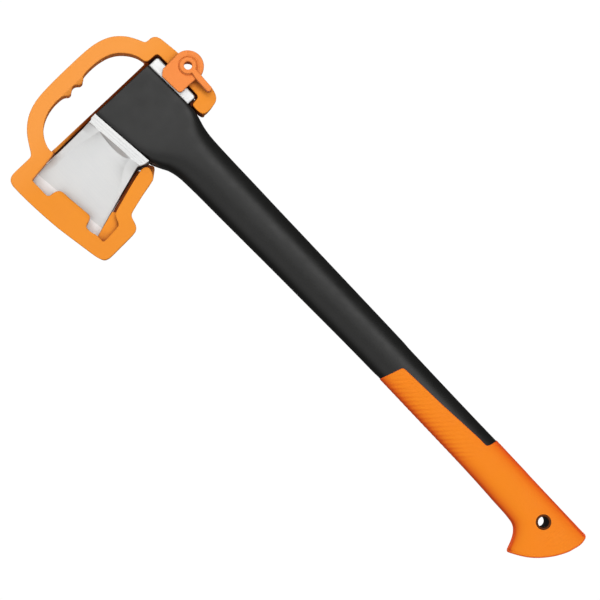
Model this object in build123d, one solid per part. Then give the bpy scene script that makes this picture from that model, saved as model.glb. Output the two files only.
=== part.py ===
from build123d import *
import math
import os

# Splitting axe with a moulded handle, in its blade sheath. Millimetres.
# Origin: centre of the hanging hole in the knob. +Z runs up the handle to the head,
# -X is the side of the cutting edge, +X the poll, Y is the thickness with the front at -Y.
# The parts are drawn from a line through the knob, HOLE off the hole's centre, and are
# moved onto the hole's centre as they are written.
# Outlines are rows of (x, z, corner radius) unless a comment says otherwise.

os.makedirs("parts", exist_ok=True)

# ---------------------------------------------------------------- handle dimensions
# height z, blade-side x, poll-side x, half thickness, squareness
SECTIONS = [
    (28.0, -21.3, 20.7, 14.6, 2.5),
    (60.0, -19.5, 20.9, 14.2, 2.4),
    (110.0, -18.5, 21.1, 13.9, 2.4),
    (200.0, -18.0, 21.9, 13.9, 2.4),
    (280.0, -18.9, 22.5, 14.2, 2.4),
    (360.0, -20.4, 23.2, 14.8, 2.5),
    (430.0, -22.0, 23.8, 15.6, 2.6),
    (462.0, -23.2, 24.1, 16.4, 2.8),
    (484.0, -27.6, 25.4, 17.2, 3.2),
    (499.0, -33.4, 28.6, 18.2, 5.0),
    (512.0, -34.7, 29.4, 18.6, 8.0),
    (563.6, -40.3, 27.8, 19.2, 9.0),
]
SECTION_POINTS = 28          # spline points round one section
HANDLE_FOOT = SECTIONS[0][0]
HANDLE_TOP = SECTIONS[-1][0]
SOCKET_TAPER = 0.085         # the socket is thicker on its blade side than at the poll
TAPER_START = 470.0          # the taper grows from here
TAPER_RISE = 42.0            # and is full this much higher
CORE_INSET = 2.4             # thickness of the soft sleeve over the handle core
WALL_INSET = 6.4             # outer surface to the hollow of the handle
HOLLOW_TOP = 478.0
CORE_TOP = 230.0             # above the upper edge of the sleeve

# upper edge of the soft sleeve, with the bare strip left open on the poll side
SLEEVE_EDGE = [
    (-40, 204.6, 0), (-17.9, 203.8, 0), (3.0, 197.4, 3), (6.2, 149.0, 0),
    (10.2, 99.7, 0), (9.4, 90.0, 3), (19.0, 86.4, 0), (45, 80.5, 0)]
# rest of the sleeve zone, passing round below the knob
SLEEVE_ZONE_REST = [(45, -60, 0), (-70, -60, 0), (-70, 204.6, 0)]

# ---------------------------------------------------------------- knob dimensions
KNOB_HALF = 14.8             # half thickness of the knob
KNOB_EDGE_R = 6.5
KNOB_TOP = 40.0
KNOB_CORE_INSET = 3.4
KNOB_CORE_EDGE_R = 4.0
KNOB_POLL_X, KNOB_BLADE_X = 20.5, -20.6     # the two ends of the top edge
# x, x shift per inset, z, z shift per inset, corner radius, corner radius of the core
KNOB_SIDE = [
    (20.4, -1, 0.0, 0, 0, 0),
    (20.2, -1, -33.0, 0, 3, 2),
    (16.5, -0.9, -38.1, 1, 6, 4),
    (9.0, 0, -38.0, 1, 20, 15),
    (-1.0, 0, -35.4, 1, 40, 30),
    (-14.3, 0.4, -29.1, 1, 60, 40),
    (-26.5, 0.7, -20.1, 0.8, 40, 30),
    (-36.3, 0.9, -8.5, 0.7, 30, 20),
    (-43.2, 1.5, 2.0, 0.1, 2.4, 1.0),
    (-42.6, 1.6, 5.6, -0.6, 2.4, 1.0),
    (-33.0, 0.6, 9.4, -0.8, 12, 8),
    (-27.0, 0.8, 14.0, -0.6, 20, 14),
    (-23.2, 1, 20.0, -0.2, 25, 16),
    (-21.3, 1, 28.0, 0, 60, 30),
]
HOLE = (-1.3, 2.2)           # centre of the hanging hole (x, z) as drawn
HOLE_R = 5.3                 # hanging hole, through the liner
LINER_R = 7.3                # outside of the liner
SPIGOT_TOP = 52.0
SPIGOT_GAP = 0.02            # spigot to the wall of the hollow
SPIGOT_WINDOW = (18, 8, 20)  # opening in the top of the spigot (x, y, z)
SPIGOT_WINDOW_CENTRE = (1, 0, 44)

# ---------------------------------------------------------------- axe head dimensions
TOE = (-126.2, 562.3)        # upper end of the cutting edge (x, z)
HEEL = (-117.6, 480.6)       # lower end of the cutting edge (x, z)
EDGE_HALF = 0.25             # half thickness at the cutting edge
SHOULDER_HALF = 21.0         # half thickness of the steel shoulder
WEDGE_Z = (470.0, 575.0)     # wedge before it is cut to its side outline
# (x, half thickness) towards the shoulder; the first two x are from the cutting edge
BEVEL = [(9.5, 2.3), (24, 4.6)]
CHEEK = [(-78.0, 8.6), (-62.0, 13.6), (-53.0, 18.2), (-49.5, 20.4),
         (-46.0, SHOULDER_HALF), (-30.0, SHOULDER_HALF)]
BLADE_SIDE = [
    (TOE[0] - 2, TOE[1], 0), (-47.4, 562.2, 0.6), (-45.2, 563.6, 0.5),
    (-40.3, 563.6, 0), (-34.2, 498.0, 0), (-39.7, 499.2, 3), (-46.2, 501.5, 4),
    (-68.9, 494.9, 0), (HEEL[0] - 2, HEEL[1] - 0.3, 0)]
POLL_X = 38.9                # face of the poll
POLL_HALF = 15.6
POLL_Z = (511.8, 562.9)
POLL_CORNER_R = 2.6
STEEL_X = (-44, 32)          # steel between blade and poll, inside the socket
STEEL_HALF = 10.5
STEEL_Z = (517.0, 558.6)

# ---------------------------------------------------------------- latch dimensions
PIVOT_X, PIVOT_Z = 52.8, 536.9
PIVOT = (PIVOT_X, PIVOT_Z)   # axis of the latch
STUB_R = 9.0
STUB_CLEARANCE = 0.07        # stub to the bore of the sheath
STUB_BORE_R = 7.4            # the stub is hollow
BEAD_R = STUB_R + 1.2        # bead round the back end of the stub
BOSS_R = 11.6
EYE_R = 3.8                  # eye through the face of the latch
EYE_DEPTH = 8.5
DISC_R = 14.8
HUB_R = 11.5                 # hub at the back of the disc
RING_R = 7.8
PAD_R = 22.6                 # the pad behind the lobe stays inside this radius
HUB_BASE = -15.15            # back of the hub
PAD_BASE = -16.2             # back of the disc and the pad
LEVER_BASE = -16.6
LOBE_BASE = -18.3            # back of the lobe, over the poll
LATCH_FACE = -22.0           # front face of the latch
LEVER_FACE = -25.0           # front of the ring and the thumb lever
LOBE = [
    (PIVOT_X + 2, PIVOT_Z + 14.6, 0), (PIVOT_X - 6, PIVOT_Z + 13.2, 6),
    (30.2, PIVOT_Z + 12.4, 4), (30.4, PIVOT_Z - 13.4, 4), (39.6, PIVOT_Z - 14.0, 3),
    (45.6, PIVOT_Z - 12.6, 3), (PIVOT_X + 2, PIVOT_Z - 14.0, 0)]
PAD = [
    (32.4, PIVOT_Z + 9.0, 3), (32.4, PIVOT_Z - 9.0, 3),
    (39.0, PIVOT_Z - 9.0, 1), (39.0, PIVOT_Z + 9.0, 1)]
LEVER = [
    (PIVOT_X - 2.3, PIVOT_Z - 2, 0), (PIVOT_X + 2.3, PIVOT_Z - 2, 0),
    (PIVOT_X + 1.7, 506.4, 2.2), (PIVOT_X - 2.9, 506.4, 2.2)]

# ---------------------------------------------------------------- sheath dimensions
FRONT, BACK = -15.0, 13.0    # faces of the sheath
SKIN = 3.6                   # front wall left by the pockets
CHANNEL = (-5.0, 9.0)        # room for the cutting edge, front and back
BACK_LIP_X = -117.2          # the back lip of the channel reaches this far
TOP_WALL = (564.3, 567.0)    # thin wall over the head

OUTLINE = [
    (-45.7, 497.2, 3), (-39.6, 496.0, 3), (-38.8, 490.0, 3), (-42.6, 482.4, 4),
    (-57.0, 480.0, 8), (-79.9, 473.6, 3), (-84.2, 459.2, 4), (-99.0, 458.4, 0),
    (-118.7, 457.8, 0), (-128.6, 457.4, 8), (-131.4, 468.0, 0), (-134.8, 490.5, 60),
    (-138.2, 511.0, 80), (-140.4, 540.0, 60), (-141.4, 575.6, 8), (-109.4, 576.2, 5),
    (-100.9, 591.2, 20), (-89.5, 603.6, 22), (-68.0, 611.4, 40), (-40.0, 613.0, 60),
    (-2.0, 613.0, 40), (28.4, 601.6, 26), (40.6, 580.6, 3), (48.4, 580.6, 6),
    (54.0, 573.0, 6), (54.2, 554.0, 0), (55.6, 521.0, 0), (56.2, 509.0, 8),
    (54.0, 496.0, 6), (40.0, 493.9, 4), (33.4, 494.2, 3), (31.9, 497.6, 2),
    (31.9, 508.8, 0), (41.1, 509.6, 1), (41.1, 565.4, 1), (28.0, 565.4, 0),
    (27.8, TOP_WALL[0], 0), (-128.4, TOP_WALL[0], 0), (-128.4, 530.0, 0),
    (-119.4, 478.4, 0), (-116.9, 472.4, 1.5), (-95.5, 473.6, 2), (-90.6, 484.0, 1.5),
    (-66.3, 491.4, 0)]
LOOP_HOLE = [
    (-93.6, TOP_WALL[1], 1), (-92.6, 576.0, 12), (-84.6, 588.0, 14),
    (-72.0, 595.4, 10), (-51.5, 597.0, 3), (-46.6, 592.8, 3.5), (-41.8, 593.8, 3),
    (-38.6, 597.0, 3), (-34.4, 597.0, 3), (-30.6, 593.0, 3), (-26.6, 593.8, 3.5),
    (-23.0, 597.6, 3), (-5.0, 598.6, 20), (15.6, 591.0, 14), (25.4, 578.0, 8),
    (26.6, TOP_WALL[1], 1)]

# added to the frame in this order: outline, front y, back y
SHEATH_ADDITIONS = [
    # front lip with the centre tab, over the edge channel
    ([(-132.0, 575.0, 0), (-124.9, 575.0, 0), (-124.9, 561.0, 0), (-123.0, 536.6, 0),
      (-115.2, 536.7, 3), (-110.2, 533.6, 3), (-107.4, 499.6, 3), (-110.4, 496.6, 2),
      (-119.3, 493.9, 0), (-116.9, 480.6, 0), (-116.9, 468.0, 0), (-132.0, 468.0, 0)],
     FRONT, CHANNEL[0]),
    # back lip of the edge channel
    ([(-132.0, 575.0, 0), (BACK_LIP_X, 575.0, 0), (BACK_LIP_X, 470.0, 0),
      (-132.0, 470.0, 0)], CHANNEL[1], BACK),
    # back web closing the corner below the heel of the blade
    ([(-121.0, 479.0, 0), (-115.0, 479.6, 0), (-92.0, 486.2, 0), (-88.0, 480.0, 0),
      (-93.0, 470.0, 0), (-121.0, 469.0, 0)], 8.0, BACK),
    # rear lug beside the neck, at the end of the lower arm
    ([(-44.0, 495.0, 0), (-36.4, 496.6, 1), (-34.8, 493.0, 1), (-40.0, 486.0, 0),
      (-44.0, 486.0, 0)], 4.0, BACK),
    # ledge on the lower arm, closing in on the heel side of the blade
    ([(-90.2, 483.9, 0), (-89.2, 487.4, 0.5), (-68.9, 493.5, 0), (-47.8, 499.6, 0.5),
      (-46.4, 496.6, 0), (-66.3, 490.8, 0)], 0.0, BACK),
    # ledge on the hook, closing in on the poll
    ([(31.9, 508.0, 0), (32.4, 510.3, 0.5), (41.6, 510.3, 0), (41.6, 508.0, 0)],
     0.0, BACK),
]

# pockets that core the back of the moulding, leaving skin and ribs
POCKETS = [
    # bar beside the channel
    [(-137.6, 571.2, 5), (-131.6, 571.2, 1), (-131.6, 546.0, 1), (-136.2, 546.0, 1)],
    [(-135.9, 543.0, 1), (-131.4, 543.0, 1), (-129.6, 521.0, 1), (-134.4, 521.0, 1)],
    [(-134.0, 518.0, 1), (-129.2, 518.0, 1), (-126.2, 497.0, 1), (-131.2, 497.0, 1)],
    [(-130.8, 494.0, 1), (-126.0, 494.0, 1), (-122.9, 474.0, 1), (-128.1, 474.0, 1)],
    # lower bar and arm
    [(-125.2, 468.8, 1), (-98.0, 469.6, 1), (-98.0, 461.8, 1), (-125.6, 460.8, 3)],
    [(-95.0, 470.0, 1), (-90.4, 475.0, 1), (-83.0, 475.2, 1), (-86.8, 462.6, 1),
     (-95.0, 461.9, 1)],
    [(-85.6, 481.8, 1), (-67.0, 487.6, 1), (-58.0, 489.8, 1), (-58.0, 483.0, 1),
     (-80.0, 477.2, 1)],
    # carry loop
    [(-106.0, 574.0, 1), (-97.4, 588.2, 12), (-86.4, 599.4, 14), (-74.0, 603.8, 1),
     (-76.0, 596.6, 1), (-86.0, 591.2, 10), (-94.6, 578.6, 10), (-96.4, 570.6, 1),
     (-106.0, 570.6, 1)],
    [(-70.6, 604.8, 1), (-60.6, 607.9, 20), (-26.6, 609.9, 1), (-26.6, 601.2, 1),
     (-70.0, 599.9, 1)],
    [(-23.4, 609.9, 1), (-5.5, 608.3, 20), (12.0, 602.6, 1), (9.4, 597.6, 1),
     (-3.0, 601.6, 20), (-23.4, 601.4, 1)],
    [(15.0, 601.6, 1), (26.6, 597.8, 14), (36.6, 580.0, 1), (36.6, 572.0, 1),
     (30.6, 572.0, 1), (29.4, 577.0, 10), (20.6, 592.2, 10), (12.4, 596.2, 1)],
    # hook around the poll
    [(44.2, 576.4, 1), (50.6, 572.6, 3), (51.0, 555.8, 1), (44.2, 555.8, 1)],
    [(44.2, 518.0, 1), (52.6, 518.0, 1), (52.4, 499.4, 4), (44.2, 497.4, 1)],
]

THROUGH = 30                 # cutting tools reach this far in Y, past every part


# ---------------------------------------------------------------- helpers
def rounded(points):
    """Closed wire in the XZ plane from (x, z, radius) corners."""
    corners = [Vector(x, 0, z) for x, z, _ in points]
    count = len(corners)
    bends = []               # (start, middle, end) of each corner
    for i, corner in enumerate(corners):
        radius = points[i][2]
        to_last = corners[i - 1] - corner
        to_next = corners[(i + 1) % count] - corner
        toward_last, toward_next = to_last.normalized(), to_next.normalized()
        cosine = max(-1.0, min(1.0, toward_last.dot(toward_next)))
        half_angle = math.acos(cosine) / 2
        if radius <= 0 or abs(half_angle - math.pi / 2) < 1e-3:
            bends.append((corner, None, corner))
            continue
        # a radius too large for its sides is reduced to fit
        setback = min(radius / math.tan(half_angle),
                      0.49 * to_last.length, 0.49 * to_next.length)
        fitted = setback * math.tan(half_angle)
        inward = (toward_last + toward_next).normalized()
        bends.append((corner + toward_last * setback,
                      corner + inward * (fitted / math.sin(half_angle) - fitted),
                      corner + toward_next * setback))

    edges = []
    for i, (start, middle, end) in enumerate(bends):
        if middle is not None:
            edges.append(Edge.make_three_point_arc(start, middle, end))
        next_start = bends[(i + 1) % count][0]
        if (next_start - end).length > 1e-4:
            edges.append(Edge.make_line(end, next_start))
    return Wire(edges)


def plate(points, y_front, y_back):
    """Prism along Y from an XZ outline of (x, z, radius) corners."""
    solid = extrude(Face(rounded(points)), amount=y_back - y_front, dir=(0, 1, 0))
    return Pos(0, y_front, 0) * solid


def rod(centre, radius, y_front, y_back):
    """Round bar along Y about an (x, z) centre."""
    x, z = centre
    middle = Pos(x, (y_front + y_back) / 2, z)
    return middle * Rot(90, 0, 0) * Cylinder(radius, y_back - y_front)


def largest(shape):
    return max(shape.solids(), key=lambda solid: solid.volume)


def handle_section(z, inset):
    """Closed handle section at height z, a squared-off oval inset from the surface."""
    for (z_below, *below), (z_above, *above) in zip(SECTIONS, SECTIONS[1:]):
        if z_below <= z <= z_above:
            share = (z - z_below) / (z_above - z_below)
            x_blade, x_poll, half, squareness = [
                low + (high - low) * share for low, high in zip(below, above)]
            break
    taper = SOCKET_TAPER * max(0.0, min(1.0, (z - TAPER_START) / TAPER_RISE))
    half_x = (x_poll - x_blade) / 2 - inset
    half_y = half - inset
    points = []
    for i in range(SECTION_POINTS):
        angle = 2 * math.pi * (i + 0.5) / SECTION_POINTS
        cosine, sine = math.cos(angle), math.sin(angle)
        x = half_x * math.copysign(abs(cosine) ** (2 / squareness), cosine)
        y = half_y * math.copysign(abs(sine) ** (2 / squareness), sine)
        y *= 1 - taper * x / half_x
        points.append(Vector((x_blade + x_poll) / 2 + x, y, z))
    return Face(Wire(Edge.make_spline(points, periodic=True)))


def handle_loft(inset, z_min, z_max):
    """The handle between two heights, inset from the outer surface."""
    between = {station[0] for station in SECTIONS if z_min < station[0] < z_max}
    heights = sorted({z_min, z_max} | between)
    return loft([handle_section(z, inset) for z in heights], ruled=True)


def knob_plate(inset, top, edge_radius):
    """Knob pulled in by inset, cut at the height top, its front and back rims rounded."""
    points = [(KNOB_POLL_X - inset, top, 0)]
    for x, x_shift, z, z_shift, radius, core_radius in KNOB_SIDE:
        points.append((x + x_shift * inset, z + z_shift * inset,
                       core_radius if inset > 0 else radius))
    points.append((KNOB_BLADE_X + inset, top, 0))

    half = KNOB_HALF - inset
    solid = plate(points, -half, half)
    rims = [edge for face in solid.faces()
            if abs(abs(face.center().Y) - half) < 1e-6
            and abs(abs(face.normal_at().Y) - 1) < 1e-6
            for edge in face.edges()]
    rims = [edge for edge in rims if abs(edge.center().Z - top) >= 1e-6]
    for radius in (edge_radius, edge_radius * 0.75, edge_radius * 0.5, 2.0):
        # the fillet can fail on the tight corners, so smaller radii are tried in turn
        try:
            return fillet(rims, radius)
        except Exception:
            continue
    return solid


# ---------------------------------------------------------------- axe head (steel)
def blade_section(z):
    """Horizontal section of the wedge at height z."""
    slope = (TOE[0] - HEEL[0]) / (TOE[1] - HEEL[1])
    edge_x = HEEL[0] + slope * (z - HEEL[1])
    profile = [(edge_x, EDGE_HALF)] + [(edge_x + x, half) for x, half in BEVEL] + CHEEK
    points = [Vector(x, -half, z) for x, half in profile]
    points += [Vector(x, half, z) for x, half in reversed(profile)]
    return Face(Wire(Edge.make_line(start, end)
                     for start, end in zip(points, points[1:] + points[:1])))


def make_axe_head():
    wedge = loft([blade_section(z) for z in WEDGE_Z], ruled=True)
    blade = wedge & plate(BLADE_SIDE, -THROUGH, THROUGH)
    steel_core = Pos(sum(STEEL_X) / 2, 0, sum(STEEL_Z) / 2) * Box(
        STEEL_X[1] - STEEL_X[0], 2 * STEEL_HALF, STEEL_Z[1] - STEEL_Z[0])
    poll = plate([(27.9, POLL_Z[1], 0), (POLL_X, POLL_Z[1], POLL_CORNER_R),
                  (POLL_X, POLL_Z[0], POLL_CORNER_R), (29.0, POLL_Z[0], 0)],
                 -POLL_HALF, POLL_HALF)
    return (blade + steel_core + poll).clean()


# ---------------------------------------------------------------- handle, knob and grip
def make_handle_body():
    outer = handle_loft(0.0, HANDLE_FOOT, HANDLE_TOP)
    hollow = handle_loft(WALL_INSET, HANDLE_FOOT, HOLLOW_TOP)
    return largest((outer - sleeve_zone) + core - hollow - axe_head)


def make_spigot():
    """Plug that fills the lower end of the handle's hollow."""
    spigot = handle_loft(WALL_INSET + SPIGOT_GAP, HANDLE_FOOT, SPIGOT_TOP)
    return spigot - Pos(*SPIGOT_WINDOW_CENTRE) * Box(*SPIGOT_WINDOW)


def make_end_plug():
    return largest((knob_core + spigot) - liner_space)


def make_hanging_liner():
    return largest(rod(HOLE, LINER_R, -KNOB_HALF, KNOB_HALF)
                   - rod(HOLE, HOLE_R, -THROUGH, THROUGH))


def make_grip_sleeve():
    knob = knob_plate(0.0, KNOB_TOP, KNOB_EDGE_R)
    below_handle = Pos(0, 0, HANDLE_FOOT - 200) * Box(200, 100, 400)
    sleeve = handle_loft(0.0, HANDLE_FOOT, CORE_TOP) & sleeve_zone
    grip = (knob & below_handle) + sleeve
    return largest(grip - core - knob_core - spigot - liner_space)


# ---------------------------------------------------------------- sheath
def make_sheath_frame():
    frame = plate(OUTLINE, FRONT, BACK) - plate(LOOP_HOLE, -THROUGH, THROUGH)
    for outline, y_front, y_back in SHEATH_ADDITIONS:
        frame = frame + plate(outline, y_front, y_back)
    for outline in POCKETS:
        frame = frame - plate(outline, FRONT + SKIN, BACK + 5)
    boss = rod(PIVOT, BOSS_R, FRONT, BACK)
    bore = rod(PIVOT, STUB_R + STUB_CLEARANCE, -THROUGH, THROUGH)
    return largest(frame + boss - bore)


def make_sheath_latch():
    disc = rod(PIVOT, DISC_R, LATCH_FACE, PAD_BASE)
    hub = rod(PIVOT, HUB_R, LATCH_FACE, HUB_BASE)
    lobe = plate(LOBE, LATCH_FACE, LOBE_BASE)
    pad = plate(PAD, LATCH_FACE, PAD_BASE) & rod(PIVOT, PAD_R, -THROUGH, 0)
    ring = rod(PIVOT, RING_R, LEVER_FACE, LATCH_FACE)
    lever = plate(LEVER, LEVER_FACE, LEVER_BASE)
    stub = rod(PIVOT, STUB_R, HUB_BASE - 1, BACK + 0.3)
    bead = rod(PIVOT, BEAD_R, BACK + 0.25, BACK + 2.0)
    latch = disc + hub + lobe + pad + ring + lever + stub + bead
    latch = latch - rod(PIVOT, EYE_R, -THROUGH, THROUGH)
    return largest(latch - rod(PIVOT, STUB_BORE_R, LEVER_FACE + EYE_DEPTH, THROUGH))


# ---------------------------------------------------------------- output
# shapes that several parts share or are cut by
axe_head = make_axe_head()
core = handle_loft(CORE_INSET, HANDLE_FOOT, CORE_TOP)
sleeve_zone = plate(SLEEVE_EDGE + SLEEVE_ZONE_REST, -THROUGH, THROUGH)
knob_core = knob_plate(KNOB_CORE_INSET, HANDLE_FOOT, KNOB_CORE_EDGE_R)
spigot = make_spigot()
liner_space = rod(HOLE, LINER_R, -THROUGH, THROUGH)

for name, solid in {
    "axe_head": axe_head,
    "handle_body": make_handle_body(),
    "end_plug": make_end_plug(),
    "hanging_liner": make_hanging_liner(),
    "grip_sleeve": make_grip_sleeve(),
    "sheath_frame": make_sheath_frame(),
    "sheath_latch": make_sheath_latch(),
}.items():
    solid = Pos(-HOLE[0], 0, -HOLE[1]) * solid
    solid.label = name
    export_step(solid, os.path.join("parts", name + ".step"))
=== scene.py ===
# Splitting axe standing on its knob, with its head in an orange blade sheath.
# In the frame the handle runs up z, the blade points to -x, the poll to +x, and the front
# face looks to -y; the origin is the centre of the hanging hole. Pieces are drawn in
# millimetres from a line through the knob, and SHIFT moves them onto the frame's origin.
import math

import bpy
import bmesh
import numpy as np
from mathutils import Matrix, Vector
from mathutils.geometry import delaunay_2d_cdt


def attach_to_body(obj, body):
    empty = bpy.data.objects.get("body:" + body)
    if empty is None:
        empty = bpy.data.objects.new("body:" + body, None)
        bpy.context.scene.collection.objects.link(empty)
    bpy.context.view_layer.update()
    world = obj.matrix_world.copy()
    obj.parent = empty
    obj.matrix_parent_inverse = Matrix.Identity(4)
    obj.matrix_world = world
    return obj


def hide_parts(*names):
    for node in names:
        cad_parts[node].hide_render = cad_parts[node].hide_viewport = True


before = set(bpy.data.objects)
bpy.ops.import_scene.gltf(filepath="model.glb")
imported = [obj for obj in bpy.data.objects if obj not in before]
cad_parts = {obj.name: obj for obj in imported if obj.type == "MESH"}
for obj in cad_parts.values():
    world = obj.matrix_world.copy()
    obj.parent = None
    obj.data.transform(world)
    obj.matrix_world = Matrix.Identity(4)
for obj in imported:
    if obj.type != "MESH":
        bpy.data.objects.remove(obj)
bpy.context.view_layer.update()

MM = 0.001
SHIFT = np.array([1.3, 0.0, -2.2])
HOLE = -SHIFT[[0, 2]]                  # (x, z) of the hanging hole
PIVOT = np.array([52.8, 536.9])        # (x, z) of the latch pivot
HANDLE_TOP = 563.6
SLEEVE_FOOT = 40.0                     # where the sleeve of the grip passes into the knob
SLEEVE_TOP = 197.4                     # its upper edge, on the poll side


# ------------------------------------------------------------------ curves and outlines
def clamp(value):
    return np.clip(value, 0, 1)


def follow(points, x):
    """Straight-line interpolation in a table of (x, value)."""
    return np.interp(x, *np.array(points).T)


def pchip(xs, ys, x):
    """Monotone cubic through the points."""
    steps = np.diff(xs)
    slopes = np.diff(ys) / steps
    tangents = np.zeros(len(xs))
    for i in range(1, len(xs) - 1):
        if slopes[i - 1] * slopes[i] > 0:
            before = 2 * steps[i] + steps[i - 1]
            after = steps[i] + 2 * steps[i - 1]
            tangents[i] = (before + after) / (before / slopes[i - 1] + after / slopes[i])
    tangents[0], tangents[-1] = slopes[0], slopes[-1]
    x = np.clip(x, xs[0], xs[-1])
    k = np.clip(np.searchsorted(xs, x, side="right") - 1, 0, len(steps) - 1)
    t = (x - xs[k]) / steps[k]
    return ((2 * t ** 3 - 3 * t ** 2 + 1) * ys[k]
            + (t ** 3 - 2 * t ** 2 + t) * steps[k] * tangents[k]
            + (-2 * t ** 3 + 3 * t ** 2) * ys[k + 1]
            + (t ** 3 - t ** 2) * steps[k] * tangents[k + 1])


def blend(a, b, start, end, t):
    return (end - t) / (end - start) * a + (t - start) / (end - start) * b


def spline(points, step):
    """Open centripetal Catmull-Rom curve through (x, z) points, sampled."""
    p = np.array(points, float)
    ext = np.vstack([2 * p[0] - p[1], p, 2 * p[-1] - p[-2]])
    out = []
    for p0, p1, p2, p3 in zip(ext, ext[1:], ext[2:], ext[3:]):
        t0 = 0.0
        t1 = t0 + math.sqrt(max(np.linalg.norm(p1 - p0), 1e-6))
        t2 = t1 + math.sqrt(max(np.linalg.norm(p2 - p1), 1e-6))
        t3 = t2 + math.sqrt(max(np.linalg.norm(p3 - p2), 1e-6))
        count = max(2, int(np.linalg.norm(p2 - p1) / step))
        for t in np.linspace(t1, t2, count, endpoint=False):
            a1 = blend(p0, p1, t0, t1, t)
            a2 = blend(p1, p2, t1, t2, t)
            a3 = blend(p2, p3, t2, t3, t)
            b1 = blend(a1, a2, t0, t2, t)
            b2 = blend(a2, a3, t1, t3, t)
            out.append(blend(b1, b2, t1, t2, t))
    return np.array(out + [p[-1]])


def run_length(x, y):
    """Length along a line up to each of its points."""
    return np.concatenate([[0], np.cumsum(np.hypot(np.diff(x), np.diff(y)))])


def spaced(curve, shares):
    """Points at the given shares of a curve's length."""
    run = run_length(*curve.T)
    return np.stack([np.interp(shares * run[-1], run, column) for column in curve.T], 1)


def corners(points, step=9.0):
    """Closed outline from (x, z, radius) corners; step is the arc resolution in degrees."""
    out = []
    for i, (x, z, radius) in enumerate(points):
        if radius <= 0:
            out.append((x, z))
            continue
        here = np.array((x, z), float)
        a = np.array(points[i - 1][:2], float) - here
        b = np.array(points[(i + 1) % len(points)][:2], float) - here
        len_a, len_b = np.linalg.norm(a), np.linalg.norm(b)
        a, b = a / len_a, b / len_b
        half = math.acos(max(-1, min(1, float(a @ b)))) / 2
        if abs(half - math.pi / 2) < 1e-3:
            out.append(tuple(here))
            continue
        cut = min(radius / math.tan(half), 0.49 * len_a, 0.49 * len_b)
        r = cut * math.tan(half)
        centre = here + (a + b) / np.linalg.norm(a + b) * (r / math.sin(half))
        first, last = here + a * cut - centre, here + b * cut - centre
        start, end = math.atan2(first[1], first[0]), math.atan2(last[1], last[0])
        turn = (end - start + math.pi) % (2 * math.pi) - math.pi
        count = max(3, int(abs(math.degrees(turn)) / step))
        for j in range(count + 1):
            angle = start + turn * j / count
            out.append((centre[0] + r * math.cos(angle), centre[1] + r * math.sin(angle)))
    clean = [out[0]]
    for q in out[1:]:
        if math.hypot(q[0] - clean[-1][0], q[1] - clean[-1][1]) > 0.02:
            clean.append(q)
    if math.hypot(clean[0][0] - clean[-1][0], clean[0][1] - clean[-1][1]) < 0.02:
        clean.pop()
    return clean


def circle(centre, radius, count=72):
    return [(centre[0] + radius * math.cos(2 * math.pi * k / count),
             centre[1] + radius * math.sin(2 * math.pi * k / count)) for k in range(count)]


def area(loop):
    p = np.array(loop)
    q = np.roll(p, -1, 0)
    return 0.5 * float(np.sum(p[:, 0] * q[:, 1] - q[:, 0] * p[:, 1]))


def ccw(loop):
    """The loop turned counter-clockwise in (x, z)."""
    return loop[::-1] if area(loop) < 0 else loop


def refine(loop, step):
    """Closed outline with its sides divided."""
    out = []
    for (x0, z0), (x1, z1) in zip(loop, loop[1:] + loop[:1]):
        n = max(1, int(math.hypot(x1 - x0, z1 - z0) / step))
        out += [(x0 + (x1 - x0) * k / n, z0 + (z1 - z0) * k / n) for k in range(n)]
    return out


def cut_corners(line):
    """One corner-cutting pass over an open line."""
    out = []
    for a, b in zip(line, line[1:]):
        p, q = np.array(a), np.array(b)
        out.append(tuple(p * 0.75 + q * 0.25))
        out.append(tuple(p * 0.25 + q * 0.75))
    return out


def soft(loop):
    """Closed outline with its corners cut once and its sides divided."""
    return refine(cut_corners(loop + loop[:1]), 1.5)


def inset(loop, depth):
    """Loop moved to its own left-hand side (inwards for a counter-clockwise loop)."""
    p = np.array(loop, float)
    along = np.roll(p, -1, 0) - p
    along /= np.linalg.norm(along, axis=1)[:, None]
    after = np.stack([-along[:, 1], along[:, 0]], 1)
    before = np.roll(after, 1, 0)
    mitre = before + after
    mitre /= np.maximum(1e-9, np.sum(mitre * before, axis=1))[:, None]
    mitre *= np.minimum(1.0, 2.2 / np.linalg.norm(mitre, axis=1))[:, None]
    return [tuple(q) for q in p + mitre * depth]


# ------------------------------------------------------------------ plane geometry
CHUNK = 256                            # edges handled at a time, to bound the memory


def inside(loops, pts):
    """Even-odd test of points against loops."""
    result = np.zeros(len(pts), bool)
    x, z = pts[:, 0][:, None], pts[:, 1][:, None]
    for loop in loops:
        p = np.array(loop)
        q = np.roll(p, -1, 0)
        for k in range(0, len(p), CHUNK):
            a, b = p[k:k + CHUNK], q[k:k + CHUNK]
            spans = (a[None, :, 1] > z) != (b[None, :, 1] > z)
            dz = b[:, 1] - a[:, 1]
            dz = np.where(np.abs(dz) < 1e-12, 1e-12, dz)
            cross = a[None, :, 0] + (z - a[None, :, 1]) * ((b[:, 0] - a[:, 0]) / dz)[None, :]
            result ^= (np.sum(spans & (x < cross), axis=1) % 2).astype(bool)
    return result


def project(line, pts):
    """Yields starts, spans and each point's share along them, for chunks of a line's edges."""
    p = np.array(line, float)
    for k in range(0, len(p) - 1, CHUNK):
        start = p[:-1][k:k + CHUNK]
        span = np.diff(p, axis=0)[k:k + CHUNK]
        square = np.maximum(1e-12, np.sum(span * span, axis=1))
        offset = pts[:, None, :] - start[None]
        share = np.clip(np.sum(offset * span[None], axis=2) / square[None], 0, 1)
        yield start, span, share[..., None]


def distance(loops, pts):
    """Distance of points to the nearest edge of closed loops."""
    best = np.full(len(pts), 1e9)
    for loop in loops:
        for start, span, share in project(loop + loop[:1], pts):
            gap = pts[:, None, :] - start[None] - share * span[None]
            best = np.minimum(best, np.sqrt(np.min(np.sum(gap * gap, axis=2), axis=1)))
    return best


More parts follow.
